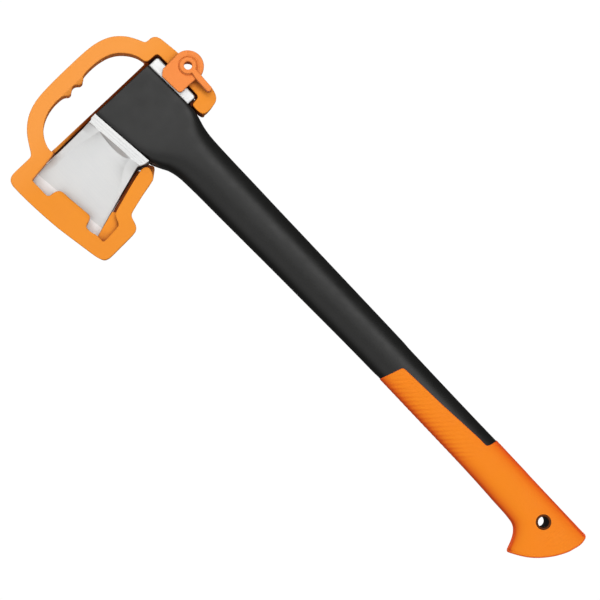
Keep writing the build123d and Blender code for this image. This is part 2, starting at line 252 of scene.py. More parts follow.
def nearest(lines, pts):
    """Distance to and nearest point on open lines."""
    best = np.full(len(pts), 1e9)
    where = np.zeros((len(pts), 2))
    rows = np.arange(len(pts))
    for line in lines:
        for start, span, share in project(line, pts):
            foot = start[None] + share * span[None]
            gap = np.linalg.norm(pts[:, None, :] - foot, axis=2)
            i = np.argmin(gap, axis=1)
            closest = gap[rows, i]
            better = closest < best
            best[better] = closest[better]
            where[better] = foot[rows, i][better]
    return best, where


def roundover(depth, radius):
    """How far a rounded rim has dropped at a depth in from the edge."""
    depth = np.clip(depth, 0, radius)
    return radius - np.sqrt(np.maximum(0.0, radius * radius - (radius - depth) ** 2))


DRAFT_REACH = 5.0                      # how far into the material a drafted wall pushes


def draft_field(lines, region, pts):
    """Unit push away from the drafted walls, fading with distance into the material."""
    gap, foot = nearest(lines, pts)
    push = pts - foot
    length = np.linalg.norm(push, axis=1)
    on_wall = length < 1e-3
    push = push / np.maximum(length, 1e-9)[:, None]
    # on the wall itself the direction is found by probing for material all round
    rows = np.where(on_wall)[0]
    inward = np.zeros((len(rows), 2))
    for angle in np.linspace(0, 2 * math.pi, 32, endpoint=False):
        way = np.array([math.cos(angle), math.sin(angle)])
        inward[inside([region], pts[rows] + way * 0.25)] += way
    push[rows] = inward / np.maximum(np.linalg.norm(inward, axis=1), 1e-9)[:, None]
    fade = clamp(1 - gap / DRAFT_REACH)
    fade[~on_wall & ~inside([region], pts)] = 0.0
    return push * fade[:, None]


# ------------------------------------------------------------------ mesh building
def mark_sharp(bm, degrees):
    """Smooth shading, broken at edges that turn by more than the given angle."""
    for f in bm.faces:
        f.smooth = True
    for e in bm.edges:
        e.smooth = not (len(e.link_faces) == 2
                        and e.calc_face_angle(0.0) > math.radians(degrees))


def weighted_normals(ob, weight):
    mod = ob.modifiers.new("weighted", "WEIGHTED_NORMAL")
    mod.keep_sharp = True
    mod.weight = weight


def link_object(name, data):
    ob = bpy.data.objects.new(name, data)
    bpy.context.scene.collection.objects.link(ob)
    return ob


def make_object(name, verts, faces, material, sharp):
    """Object from vertices in working millimetres, cleaned and shaded."""
    me = bpy.data.meshes.new(name)
    placed = (np.array(verts, float) + SHIFT) * MM
    me.from_pydata([tuple(p) for p in placed], [], [tuple(int(i) for i in f) for f in faces])
    me.validate()
    bm = bmesh.new()
    bm.from_mesh(me)
    bmesh.ops.remove_doubles(bm, verts=bm.verts, dist=2e-6)
    bmesh.ops.dissolve_degenerate(bm, dist=1e-6, edges=bm.edges)
    loose = [v for v in bm.verts if not v.link_faces]
    bmesh.ops.delete(bm, geom=loose, context="VERTS")
    bmesh.ops.recalc_face_normals(bm, faces=bm.faces)
    mark_sharp(bm, sharp)
    bm.to_mesh(me)
    bm.free()
    ob = link_object(name, me)
    me.materials.append(material)
    weighted_normals(ob, weight=60)
    return ob


def grid_faces(rows, cols, closed=False, base=0, flip=False):
    """Quads of a grid of vertices; closed joins the last column to the first."""
    faces = []
    for i in range(rows - 1):
        for j in range(cols if closed else cols - 1):
            a, b = base + i * cols + j, base + i * cols + (j + 1) % cols
            c, d = b + cols, a + cols
            faces.append((a, d, c, b) if flip else (a, b, c, d))
    return faces


def triangulate(coords, edges, epsilon):
    """Constrained triangulation: points and counter-clockwise triangles without slivers."""
    out = delaunay_2d_cdt([Vector(c) for c in coords], edges, [], 0, epsilon)
    pts = np.array([tuple(v) for v in out[0]])
    tris = np.array([f for f in out[2] if len(f) == 3])
    a, b, c = pts[tris[:, 0]], pts[tris[:, 1]], pts[tris[:, 2]]
    cross = (b[:, 0] - a[:, 0]) * (c[:, 1] - a[:, 1]) - (b[:, 1] - a[:, 1]) * (c[:, 0] - a[:, 0])
    tris[cross < 0] = tris[cross < 0][:, ::-1]
    return pts, tris[np.abs(cross) > 1e-9]


def plus(*loops):
    return [("+", loop) for loop in loops]


def minus(*loops):
    return [("-", loop) for loop in loops]


def layered(levels, regions, rims, shapes=(), guides=(), drafts=()):
    """Solid made of prisms stacked along y. levels: n+1 values of y; regions: for each of the
    n layers the loops it adds and removes in turn. rims: {level: (loops, radius, sign)} rounds
    the rim of the face there; shapes: {level: function(x, z) -> dy}; guides: loops that only
    add vertices; drafts: (walls, region, push at each level). Returns verts and faces."""
    loops = [loop for region in regions for _, loop in region]
    for rim_loops, radius, _ in rims.values():
        for loop in rim_loops:
            side = 1.0 if area(loop) > 0 else -1.0
            probe = np.array(inset(loop, 0.02 * side)[:1])
            if not inside(rim_loops, probe)[0]:
                side = -side
            loops += [inset(loop, side * radius * share) for share in (0.1, 0.3, 0.6, 1.0, 1.25)]
    loops += guides
    index, edges = {}, []
    for loop in loops:
        ids = [index.setdefault((round(x, 4), round(z, 4)), len(index)) for x, z in loop]
        edges += [(a, b) for a, b in zip(ids, ids[1:] + ids[:1]) if a != b]
    pts, tris = triangulate(list(index), edges, 1e-4)
    centres = pts[tris].mean(axis=1)
    covered = {}
    filled = []
    for region in regions:
        state = np.zeros(len(tris), bool)
        for sign, loop in region:
            if id(loop) not in covered:
                covered[id(loop)] = inside([loop], centres)
            hit = covered[id(loop)]
            state = (state | hit) if sign == "+" else (state & ~hit)
        filled.append(state)

    count = len(pts)
    ys = np.array(levels, float)[:, None] + np.zeros(count)
    for k, (rim_loops, radius, sign) in rims.items():
        ys[k] += sign * roundover(distance(rim_loops, pts), radius)
    for k, shape in dict(shapes).items():
        ys[k] += shape(pts[:, 0], pts[:, 1])
    for k in range(1, len(levels)):
        ys[k] = np.maximum(ys[k], ys[k - 1] + 0.02)
    moved = [pts] * len(levels)
    for walls, region, amounts in drafts:
        push = draft_field(walls, region, pts)
        moved = [p + push * amount for p, amount in zip(moved, amounts)]
    verts = np.concatenate([np.stack([p[:, 0], y, p[:, 1]], 1) for p, y in zip(moved, ys)])

    faces = []
    empty = np.zeros(len(tris), bool)
    for k, (below, above) in enumerate(zip([empty] + filled, filled + [empty])):
        faces += list(tris[below & ~above][:, [0, 2, 1]] + k * count)
        faces += list(tris[~below & above] + k * count)
    owner = {}
    for i, t in enumerate(tris):
        for a, b in ((t[0], t[1]), (t[1], t[2]), (t[2], t[0])):
            owner[(a, b)] = i
    for (a, b), i in owner.items():
        j = owner.get((b, a))
        for k, state in enumerate(filled):
            if state[i] and not (j is not None and state[j]):
                low, high = k * count, (k + 1) * count
                faces.append((a + low, b + low, b + high, a + high))
    return verts, faces


# ------------------------------------------------------------------ shader graph
class Graph:
    """Short calls for building one node tree."""

    def __init__(self, tree):
        self.tree = tree

    def feed(self, socket, value):
        """Links a socket, or sets it to a value; colours are given without alpha."""
        if isinstance(value, bpy.types.NodeSocket):
            self.tree.links.new(value, socket)
        else:
            socket.default_value = (*value, 1.0) if socket.type == "RGBA" else value

    def add(self, kind, *numbered, **named):
        """New node with its inputs fed by place or by name."""
        node = self.tree.nodes.new("ShaderNode" + kind)
        for i, value in enumerate(numbered):
            self.feed(node.inputs[i], value)
        for name, value in named.items():
            self.feed(node.inputs[name], value)
        return node

    def mapped(self, scale=(1, 1, 1), rotation=(0, 0, 0)):
        place = self.add("TexCoord").outputs["Object"]
        return self.add("Mapping", Vector=place, Scale=scale,
                        Rotation=rotation).outputs["Vector"]

    def noise(self, place, scale, detail=4.0, roughness=0.55):
        return self.add("TexNoise", Vector=place, Scale=scale, Detail=detail,
                        Roughness=roughness).outputs["Fac"]

    def curve(self, value, stops):
        """Grey ramp through (position, level) stops."""
        node = self.add("ValToRGB", value)
        elements = node.color_ramp.elements
        while len(elements) < len(stops):
            elements.new(0.5)
        for element, (position, level) in zip(elements, stops):
            element.position = position
            element.color = (level, level, level, 1.0)
        return node.outputs["Color"]

    def ramp(self, value, start, end, first=0.0, last=1.0):
        """Runs from the level first to the level last between two positions."""
        return self.curve(value, [(start, first), (end, last)])

    def mix(self, factor, a, b):
        node = self.tree.nodes.new("ShaderNodeMix")
        node.data_type = "RGBA"
        # the colour sockets of the mix node are inputs 6 and 7 and output 2
        for i, value in ((0, factor), (6, a), (7, b)):
            self.feed(node.inputs[i], value)
        return node.outputs[2]

    def math(self, operation, *values):
        node = self.add("Math", *values)
        node.operation = operation
        return node.outputs[0]

    def bump(self, height, strength, distance, **normal):
        return self.add("Bump", Strength=strength, Distance=distance, Height=height,
                        **normal).outputs["Normal"]

    def crevice(self, distance, shut, clear):
        """1 deep in narrow gaps, 0 on open faces."""
        node = self.add("AmbientOcclusion", Distance=distance)
        node.samples = 4
        return self.ramp(node.outputs["AO"], start=shut, end=clear, first=1.0, last=0.0)

    def side_face(self, low=0.35, high=0.62):
        """1 on faces square to the flat sides of the tool, 0 on the flat sides themselves."""
        normal = self.add("NewGeometry").outputs["True Normal"]
        y = self.math("ABSOLUTE", self.add("SeparateXYZ", normal).outputs[1])
        return self.ramp(y, start=low, end=high, first=1.0, last=0.0)

    def convex_rim_mask(self):
        """1 on the convex rims, 0 elsewhere."""
        pointiness = self.add("NewGeometry").outputs["Pointiness"]
        return self.ramp(pointiness, start=0.50, end=0.56)


def new_material(name):
    """Material, its graph and the inputs of its surface shader."""
    material = bpy.data.materials.new(name)
    material.use_nodes = True
    graph = Graph(material.node_tree)
    return material, graph, graph.tree.nodes["Principled BSDF"].inputs


# ------------------------------------------------------------------ materials
BLOTCH = 0.06                          # share of the deep colour in the colour drift
BOUNCE_COLOR = (0.52, 0.42, 0.36)      # duller colour the plastics throw on their neighbours
LIT_TOP_START, LIT_TOP_END = 0.545, 0.585    # height in metres where the sheath is painted paler, as if lit from above


def plastic(name, base, deep, roughness, specular, grain=2600.0, grain_depth=0.00003,
            rim=0.35, turning=(0.32, 0.86), gap=None, lit_top_color=None):
    """Moulded plastic: a fine grain, faint colour drift, and painted shade in the deep colour
    where the surface turns away from the camera. rim and turning: amount and facing range of
    that
    painted shade; gap: (size, amount, colour) of the shadow painted in narrow gaps;
    lit_top_color:
    colour of the upper part, painted paler as if lit from above."""
    material, g, surface = new_material(name)
    place = g.mapped()
    drift = g.noise(place, scale=26.0, detail=3.0)
    blotch = tuple(b * (1 - BLOTCH) + d * BLOTCH for b, d in zip(base, deep))
    color = g.mix(g.ramp(drift, start=0.35, end=0.68), base, blotch)
    # painted light: the upper part is coloured paler, as if lit from above
    if lit_top_color:
        height = g.add("SeparateXYZ", place).outputs[2]
        color = g.mix(g.ramp(height, start=LIT_TOP_START, end=LIT_TOP_END), color, lit_top_color)
    # painted shade: the colour runs towards the deep colour where the surface turns away from
    # the camera
    facing = g.add("LayerWeight", Blend=0.5).outputs["Facing"]
    turn = g.math("MULTIPLY", g.ramp(facing, *turning), rim)
    color = g.mix(turn, color, deep)
    if gap:
        size, amount, shadow = gap
        dark = g.math("MULTIPLY", g.crevice(size, shut=0.30, clear=0.66), amount)
        color = g.mix(dark, color, shadow)
    bounce = g.math("SUBTRACT", 1.0, g.add("LightPath").outputs["Is Camera Ray"])
    color = g.mix(g.math("MULTIPLY", bounce, 0.70), color, BOUNCE_COLOR)
    g.feed(surface["Base Color"], color)
    wear = g.noise(place, scale=120.0, detail=5.0, roughness=0.6)
    g.feed(surface["Roughness"], g.ramp(wear, start=0.3, end=0.7, first=roughness - 0.05,
                                        last=roughness + 0.07))
    g.feed(surface["Specular IOR Level"], specular)
    grained = g.bump(g.noise(place, scale=grain, detail=2.0), strength=0.35,
                     distance=grain_depth)
    scuff = g.noise(g.mapped(scale=(60, 60, 420), rotation=(0, 0.7, 0)), scale=3.0)
    g.feed(surface["Normal"], g.bump(g.ramp(scuff, start=0.48, end=0.52), strength=0.05,
                                     distance=0.00004, Normal=grained))
    return material


def steel():
    """Satin steel; the attribute 'ground' marks the freshly ground bevel."""
    satin, cloudy, brush_line = (0.765, 0.765, 0.752), (0.725, 0.73, 0.73), (0.68, 0.685, 0.70)
    fresh_color, painted_gap_shade = (1.0, 0.995, 1.0), (0.045, 0.012, 0.006)
    material, g, surface = new_material("ground_steel")
    place = g.mapped()
    attribute = g.add("Attribute")
    attribute.attribute_name = "ground"
    ground = attribute.outputs["Fac"]
    # the ground bevel is less metallic than the rest
    g.feed(surface["Metallic"], g.math("ADD", g.math("MULTIPLY", ground, -0.35), 0.6))
    brushed = g.noise(g.mapped(scale=(900, 900, 26), rotation=(0, 0.06, 0)), scale=1.0,
                      detail=5.0, roughness=0.6)
    cloud = g.noise(place, scale=34.0)
    color = g.mix(g.ramp(cloud, start=0.3, end=0.7), satin, cloudy)
    color = g.mix(g.ramp(brushed, start=0.35, end=0.65, last=0.22), color, brush_line)
    color = g.mix(ground, color, fresh_color)
    # painted shade: dark brown in narrow gaps on the faces square to the flat sides
    dark = g.math("MULTIPLY", g.crevice(0.012, shut=0.45, clear=0.95), g.side_face())
    g.feed(surface["Base Color"], g.mix(dark, color, painted_gap_shade))
    g.feed(surface["Roughness"], g.ramp(brushed, start=0.3, end=0.7, first=0.36, last=0.50))
    grooves = g.bump(brushed, strength=0.12, distance=0.00004)
    fine = g.noise(place, scale=900.0, detail=3.0)
    g.feed(surface["Normal"], g.bump(fine, strength=0.10, distance=0.00003, Normal=grooves))
    return material


def black(name, base, roughness, depth=0.00004, lip=None, specular=0.34):
    """Dark moulding with a fine grain; lip is a warm shade painted on the faces that look out
    along y.
    """
    material, g, surface = new_material(name)
    place = g.mapped()
    drift = g.noise(place, scale=40.0)
    color = g.mix(g.ramp(drift, start=0.3, end=0.7), base, tuple(c * 1.25 for c in base))
    # the colour is made lighter on the convex rims
    color = g.mix(g.convex_rim_mask(), color, tuple(min(1.0, c * 1.7) for c in base))
    if lip:
        color = g.mix(g.side_face(low=0.45, high=0.75), lip, color)
    g.feed(surface["Base Color"], color)
    grain = g.noise(place, scale=1500.0, detail=3.0)
    wear = g.noise(place, scale=90.0)
    g.feed(surface["Roughness"], g.ramp(wear, start=0.3, end=0.7, first=roughness - 0.04,
                                        last=roughness + 0.07))
    g.feed(surface["Specular IOR Level"], specular)
    g.feed(surface["Normal"], g.bump(grain, strength=0.35, distance=depth))
    return material


STEEL = steel()
BLACK = black("black_composite", base=(0.0085, 0.0085, 0.008), roughness=0.33)
PLUG = black("black_moulding", base=(0.015, 0.015, 0.015), roughness=0.5)
# painted shade: the liner's front ring, facing along y, is a warm dark brown; the bore keeps the
# base
LINER = black("dark_liner", base=(0.010, 0.006, 0.005), roughness=0.42, depth=0.00002,
              lip=(0.100, 0.023, 0.001), specular=0.12)
# the sheath's upper part is painted paler, as if lit from above
SHEATH = plastic("orange_moulding", base=(0.87, 0.286, 0.018), deep=(0.50, 0.050, 0.004),
                 roughness=0.50, specular=0.22, gap=(0.011, 0.92, (0.25, 0.018, 0.001)),
                 lit_top_color=(0.90, 0.322, 0.050))
LATCH = plastic("orange_latch", base=(0.90, 0.262, 0.050), deep=(0.55, 0.055, 0.010),
                roughness=0.48, specular=0.25, gap=(0.005, 0.60, (0.60, 0.060, 0.010)))
# the grip takes the full deep red as painted shade on its flanks
GRIP = plastic("orange_grip", base=(0.88, 0.232, 0.006), deep=(0.98, 0.112, 0.012),
               roughness=0.58, specular=0.18, grain=1900.0, grain_depth=0.00004, rim=1.0,
               turning=(0.015, 0.50))


# ------------------------------------------------------------------ handle
# side profile: z, blade-side x, poll-side x
PROFILE = np.array([
    (40, -20.5, 20.7), (60, -19.5, 20.8), (80, -18.9, 21.05), (100, -18.55, 21.05),
    (130, -18.35, 21.15), (160, -18.2, 21.35), (200, -17.95, 21.8), (230, -18.1, 22.15),
    (260, -18.5, 22.4), (300, -19.3, 22.7), (340, -20.0, 23.0), (380, -20.9, 23.25),
    (420, -21.8, 23.65), (445, -22.25, 23.8), (458, -22.7, 23.95), (466, -23.1, 24.1),
    (473, -24.1, 24.35), (480, -26.0, 24.9), (487, -29.5, 26.0), (492, -31.8, 27.2),
    (497.5, -33.7, 28.5), (504, -34.6, 29.4), (512, -35.3, 29.2), (530, -37.1, 28.6),
    (HANDLE_TOP, -40.35, 27.4)])
# z, half thickness on the blade side and on the poll side, squareness
THICKNESS = np.array([
    (40, 14.5, 14.5, 2.45), (110, 14.0, 14.0, 2.4), (200, 13.9, 13.9, 2.4),
    (280, 14.2, 14.2, 2.4), (360, 14.8, 14.8, 2.45), (430, 15.6, 15.6, 2.55),
    (462, 16.6, 16.4, 2.8), (480, 17.9, 16.9, 3.3), (492, 19.1, 17.3, 4.6),
    (500, 19.9, 17.5, 7.5), (508, 20.4, 17.6, 13.0), (520, 20.6, 17.6, 20.0),
    (HANDLE_TOP, 20.6, 17.5, 24.0)])
HANDLE_FOOT = 60.0
# start, stop and step of the section heights
HANDLE_SPANS = [(HANDLE_FOOT, 204.0, 4.0), (204.0, 214.0, 1.0), (214.0, 440.0, 3.0),
                (440.0, 520.0, 0.9), (520.0, 561.0, 2.5)]
TOP_ROUND = 1.5                        # rounding at the top of the handle
HALF_RING = 92                         # points on the front half of a section


def stations(spans):
    return np.concatenate([np.arange(*span) for span in spans])


def section_at(z):
    """Blade-side x, poll-side x, half thickness on the blade and poll sides, squareness."""
    return [pchip(table[:, 0], column, z)
            for table in (PROFILE, THICKNESS) for column in table.T[1:]]


def squircle(z, t, offset=0.0):
    """Points (x, y) of the section at height z for the angles t, front side negative y."""
    blade_x, poll_x, half_blade, half_poll, n = section_at(z)
    half_width, centre = (poll_x - blade_x) / 2 + offset, (blade_x + poll_x) / 2
    cos, sin = np.cos(t), np.sin(t)
    u = np.sign(cos) * np.abs(cos) ** (2 / n)
    half = (half_blade + half_poll) / 2 + (half_poll - half_blade) / 2 * u + offset
    return centre + half_width * u, -half * np.sign(sin) * np.abs(sin) ** (2 / n)


def even_angles(z, count):
    """Angles spread evenly by length and by turning, so corners get their share."""
    t = np.linspace(0, math.pi, 1201)
    x, y = squircle(z, t)
    run = run_length(x, y)
    heading = np.unwrap(np.arctan2(np.diff(y), np.diff(x)))
    turn = np.concatenate([[0], np.cumsum(np.abs(np.diff(heading)))])
    turn = np.concatenate([turn, [turn[-1]]])
    weight = 0.6 * run / run[-1] + 0.4 * turn / turn[-1] + 1e-6 * np.arange(len(t))
    weight /= weight[-1]
    return np.interp(np.linspace(0, 1, count), weight, t)


def build_handle():
    # rows: height, height the section is taken at, offset of the section
    rows = [(z, z, -0.32 * clamp((212.0 - z) / 7.0)) for z in stations(HANDLE_SPANS)]
    shoulder = HANDLE_TOP - TOP_ROUND
    rows.append((shoulder, shoulder, 0.0))
    for k in range(1, 7):
        angle = math.radians(15 * k)
        rows.append((shoulder + TOP_ROUND * math.sin(angle), HANDLE_TOP,
                     -TOP_ROUND * (1 - math.cos(angle))))
    rows.append((HANDLE_TOP + 0.02, HANDLE_TOP, -5.0))
    rows.append((HANDLE_TOP + 0.03, HANDLE_TOP, -11.0))
    verts = []
    for z, section_z, offset in rows:
        x, y = squircle(section_z, even_angles(section_z, HALF_RING), offset)
        x = np.concatenate([x, x[-2:0:-1]])
        y = np.concatenate([y, -y[-2:0:-1]])
        verts += [(a, b, z) for a, b in zip(x, y)]
    cols = 2 * HALF_RING - 2
    faces = grid_faces(len(rows), cols, closed=True)
    foot, crown = len(verts), len(verts) + 1
    verts += [(0.5, 0.0, HANDLE_FOOT), (-6.0, 0.0, HANDLE_TOP + 0.03)]
    last = (len(rows) - 1) * cols
    for j in range(cols):
        faces.append((j, foot, (j + 1) % cols))
        faces.append((last + j, last + (j + 1) % cols, crown))
    return make_object("handle_shell", verts, faces, BLACK, sharp=55)


# ------------------------------------------------------------------ soft grip with the knob
# z, x of the sleeve's edge along the bare strip on the poll side
SLEEVE_EDGE = [(84, 21.4), (85.6, 21.3), (86.3, 19.4), (87.4, 15.6), (88.4, 12.2), (89.6, 10.4),
               (91.2, 9.8), (95, 9.75), (99.7, 9.7), (120, 8.4), (149, 6.3), (175, 5.2),
               (192, 4.35), (194.6, 4.1), (196.2, 3.3), (197.1, 2.2), (197.4, 1.2), (205, 1.2)]
STRIP_FOOT = 84.0                      # height where the bare strip begins
SLEEVE_SPANS = [(SLEEVE_FOOT, STRIP_FOOT, 0.8), (STRIP_FOOT, 92.0, 0.3), (92.0, 190.0, 0.72),
                (190.0, 196.2, 0.35)]
SLEEVE_LAST = [196.2, 196.5, 196.75, 197.0, 197.15, 197.25, 197.33, 197.37, SLEEVE_TOP]
RIM_COLUMNS = [0, .1, .25, .45, .7, 1.0]   # distances of the close columns at the edge
SLEEVE_COLUMNS = 84
PROUD = 0.26                           # how far the sleeve stands out from the handle
RIM_LIFT = 0.75                        # radius and drop of the sleeve's rounded rim
SLEEVE_WALL = 1.1                      # depth of the inner sheet under the handle surface
# (x, z) lines of the knob: flank on the poll side, flank on the blade side, bottom arc
KNOB_POLL = [(20.7, 40), (20.65, 20), (20.45, 0), (20.3, -20), (20.2, -33.2)]
KNOB_BLADE = [(-20.5, 40), (-20.75, 34), (-21.15, 28), (-22.2, 20.8), (-24, 17),
              (-26.5, 14.2), (-29.5, 11.9), (-32.9, 10), (-37.6, 7.9), (-42.1, 6.2),
              (-43.2, 5.4), (-43.6, 4.3)]
KNOB_ARC = [(20.2, -33.2), (19.6, -35.4), (17.9, -36.9), (14.5, -37.7), (11, -37.9),
            (7, -37.4), (3, -36.3), (-2.9, -34.6), (-10, -31.3), (-16.8, -27.3),
            (-22.9, -22.8), (-28.9, -17.5), (-34.2, -11.7), (-38.6, -5.5), (-42, 0.2),
            (-43.3, 2.6), (-43.6, 4.3)]
KNOB_ROWS = 136
KNOB_RIM = 2.3                         # rounding round the bottom arc
SHAFT_HALF, KNOB_HALF = 14.5, 14.8     # half thickness at the top and bottom of the knob
GRIP_BORE = 7.3                        # radius of the hanging hole in the grip


def rib_height(x, z):
    """Moulded grip texture: slanted ribs up the grip, finer ones low down."""
    main = np.cos(2 * math.pi * (0.655 * x + 0.756 * z) / 4.15)
    fade = clamp((z - 88.0) / 12.0) * clamp((199.0 - z + 0.3 * x) / 3.0)
    fade = fade * clamp((follow(SLEEVE_EDGE, z) - 2.0 - x) / 3.0)
    fine = np.cos(2 * math.pi * (0.69 * x + 0.723 * z) / 2.35)
    low = clamp((z - 52.0) / 6.0) * clamp((84.0 - z) / 6.0) * clamp((x - 1.0) / 4.0)
    fan = np.cos(2 * math.pi * (0.114 * x + 0.993 * z) / 2.7)
    knob = clamp((-2.0 - z) / 6.0) * clamp((np.hypot(x - HOLE[0], z - HOLE[1]) - 10) / 4)
    above_hole = np.cos(2 * math.pi * (0.723 * x - 0.69 * z) / 2.8)
    middle = clamp((z - 12.0) / 5.0) * clamp((44.0 - z) / 8.0) \
        * clamp((14.0 - np.abs(x - 2.0)) / 6.0)
    return 0.135 * main * fade + 0.07 * fine * low \
        + 0.085 * fan * knob * clamp((12.0 - x) / 8.0) + 0.045 * above_hole * middle


def sleeve_row(height):
    """Outer and inner points and bare section of the sleeve's front half at one height."""
    blade_x, poll_x, _, _, n = section_at(height)
    half_width, centre = (poll_x - blade_x) / 2, (blade_x + poll_x) / 2
    u = min(1.0, (float(follow(SLEEVE_EDGE, height)) - centre) / half_width)
    start = 0.0
    if u < 1:
        start = math.acos(max(-1.0, min(1.0, math.copysign(abs(u) ** (n / 2), u))))
    t = np.linspace(start, math.pi, 700)
    run = run_length(*squircle(height, t)) + 1e-7 * np.arange(len(t))
    columns = np.concatenate([RIM_COLUMNS, np.linspace(1.0, run[-1], SLEEVE_COLUMNS)[1:]])
    angles = np.interp(columns, run, t)
    has_edge = clamp((height - 84.2) / 1.4)
    depth = np.minimum(columns + (1 - has_edge) * 5.0, (SLEEVE_TOP - height) * 0.955)
    lift = PROUD * clamp((height - SLEEVE_FOOT) / 8.0)
    if height > STRIP_FOOT:
        share = clamp(depth / RIM_LIFT)
        lift = lift + RIM_LIFT * np.sqrt(np.maximum(0.0, 1 - (1 - share) ** 2)) - RIM_LIFT
    # the rows rise towards the blade side, more so higher up
    x, _ = squircle(height, angles)
    z = height + 0.306 * np.maximum(0.0, 1.2 - x) * clamp((height - 120.0) / 77.4)
    x, y = squircle(z, angles)
    # outward direction of the section
    normal_x, normal_y = np.gradient(y), -np.gradient(x)
    length = np.hypot(normal_x, normal_y)
    normal_x, normal_y = normal_x / length, normal_y / length
    if normal_x[-1] > 0:
        normal_x, normal_y = -normal_x, -normal_y
    normal_x[-1], normal_y[-1] = -1.0, 0.0
    if has_edge <= 0:
        normal_x[0], normal_y[0] = 1.0, 0.0
    offset = lift + rib_height(x, z) * clamp(depth / 1.4) * clamp(np.abs(y) / 3.0)
    outer = np.stack([x + normal_x * offset, y + normal_y * offset, z], 1)
    inner = np.stack([x - normal_x * SLEEVE_WALL, y - normal_y * SLEEVE_WALL,
                      np.full(len(x), height)], 1)
    inner[:, 2] = z
    return outer, inner, (x, y)


def knob_rows(top_x, top_y):
    """Rows of the knob's front half, from the foot of the sleeve round the bottom rim."""
    # columns as shares across the section, taken from the lowest sleeve row
    share = (top_x[0] - top_x) / (top_x[0] - top_x[-1])
    share[0], share[-1] = 0.0, 1.0
    across = share[:, None]
    lateral = np.abs(top_y) / np.max(np.abs(top_y))
    arc = spaced(spline(KNOB_ARC, 0.5), share)
    tangent = np.gradient(arc, axis=0)
    tangent /= np.linalg.norm(tangent, axis=1)[:, None]
    outward = np.stack([-tangent[:, 1], tangent[:, 0]], 1)
    arc_inner = arc - outward * np.minimum(KNOB_RIM, KNOB_HALF * lateral)[:, None]

    def bulge(line):
        """How far a line departs from the chord between its ends."""
        return line - (line[0][None] * (1 - across) + line[-1][None] * across)

    top = bulge(np.stack([top_x, np.full(len(top_x), SLEEVE_FOOT)], 1))
    bottom = bulge(arc_inner)
    downs = np.linspace(0, 1, KNOB_ROWS)
    poll_flank = spaced(spline(KNOB_POLL, 0.8), downs)
    blade_flank = spaced(spline(KNOB_BLADE, 0.8), downs)
    rows = []
    for down, poll, blade in zip(downs[1:], poll_flank[1:], blade_flank[1:]):
        # transfinite patch between the top row, the arc and the two flanks
        flat = poll[None] * (1 - across) + blade[None] * across
        row = flat + top * (1 - down) + bottom * down ** 1.6
        x, z = row[:, 0], row[:, 1]
        # the rounded thickness passes smoothly from the shaft's to the knob's
        ease = down * down * (3 - 2 * down)
        n = 2.45 + 0.35 * ease
        half = SHAFT_HALF + (KNOB_HALF - SHAFT_HALF) * ease
        y = -half * np.maximum(0.0, 1 - np.abs(2 * share - 1) ** n) ** (1 / n)
        y = y * ease + top_y * (1 - ease)
        rib = rib_height(x, z) * clamp(np.abs(y) / 4.0) * clamp((1 - down) / 0.06)
        rows.append(np.stack([x, y - rib, z], 1))
    depth = np.abs(y)
    radius = np.minimum(KNOB_RIM, depth)
    for k in range(1, 7):
        angle = math.radians(15 * k)
        q = arc_inner + outward * (radius * math.sin(angle))[:, None]
        rows.append(np.stack([q[:, 0], -(depth - radius * (1 - math.cos(angle))), q[:, 1]], 1))
    edge = rows[-1]
    rows += [edge * (1, narrowing, 1) for narrowing in (0.66, 0.33, 0.0)]
    return rows


def cut_hanging_hole(ob):
    """Bores the hole on the frame's origin and keeps the result as the mesh."""
    bm = bmesh.new()
    bmesh.ops.create_cone(bm, cap_ends=True, segments=96, radius1=GRIP_BORE * MM,
                          radius2=GRIP_BORE * MM, depth=60 * MM)
    bmesh.ops.transform(bm, matrix=Matrix.Rotation(math.radians(90), 4, "X"), verts=bm.verts)
    me = bpy.data.meshes.new("hole_cutter")
    bm.to_mesh(me)
    bm.free()
    cutter = link_object("hole_cutter", me)
    mod = ob.modifiers.new("hole", "BOOLEAN")
    mod.operation = "DIFFERENCE"
    mod.solver = "EXACT"
    mod.object = cutter
    ob.modifiers.move(len(ob.modifiers) - 1, 0)
    graph = bpy.context.evaluated_depsgraph_get()
    me = bpy.data.meshes.new_from_object(ob.evaluated_get(graph))
    ob.modifiers.clear()
    uncut = ob.data
    ob.data = me
    bpy.data.meshes.remove(uncut)
    bm = bmesh.new()
    bm.from_mesh(me)
    mark_sharp(bm, 50)
    bm.to_mesh(me)
    bm.free()
    bpy.data.objects.remove(cutter)
    weighted_normals(ob, weight=50)


def build_grip():
    # rows run from the top of the sleeve downwards
    sleeve = [sleeve_row(z) for z in [*stations(SLEEVE_SPANS), *SLEEVE_LAST]][::-1]
    outer = [row[0] for row in sleeve] + knob_rows(*sleeve[-1][2])
    inner = [row[1] for row in sleeve]
    cols = len(outer[0])
    verts, faces, bases = [], [], []
    for sheet, side, flip in ((outer, 1, False), (outer, -1, True),
                              (inner, 1, True), (inner, -1, False)):
        bases.append(len(verts))
        faces += grid_faces(len(sheet), cols, base=len(verts), flip=flip)
        verts += [(x, side * y, z) for row in sheet for x, y, z in row]
    _, back, inner_front, inner_back = bases
    for j in range(cols - 1):              # upper rim
        faces.append((j + 1, j, inner_front + j, inner_front + j + 1))
        faces.append((back + j, back + j + 1, inner_back + j + 1, inner_back + j))
    last = (len(sleeve) - 1) * cols
    for a in range(0, last, cols):         # rim along the bare strip
        b = a + cols
        faces.append((a, b, inner_front + b, inner_front + a))
        faces.append((back + b, back + a, inner_back + a, inner_back + b))
    centre = len(verts)
    verts.append((0.0, 0.0, SLEEVE_FOOT))
    for j in range(last, last + cols - 1):   # floor of the hollow
        faces.append((inner_front + j, inner_front + j + 1, centre))
        faces.append((inner_back + j + 1, inner_back + j, centre))
    ob = make_object("soft_grip", verts, faces, GRIP, sharp=50)
    cut_hanging_hole(ob)
    return ob


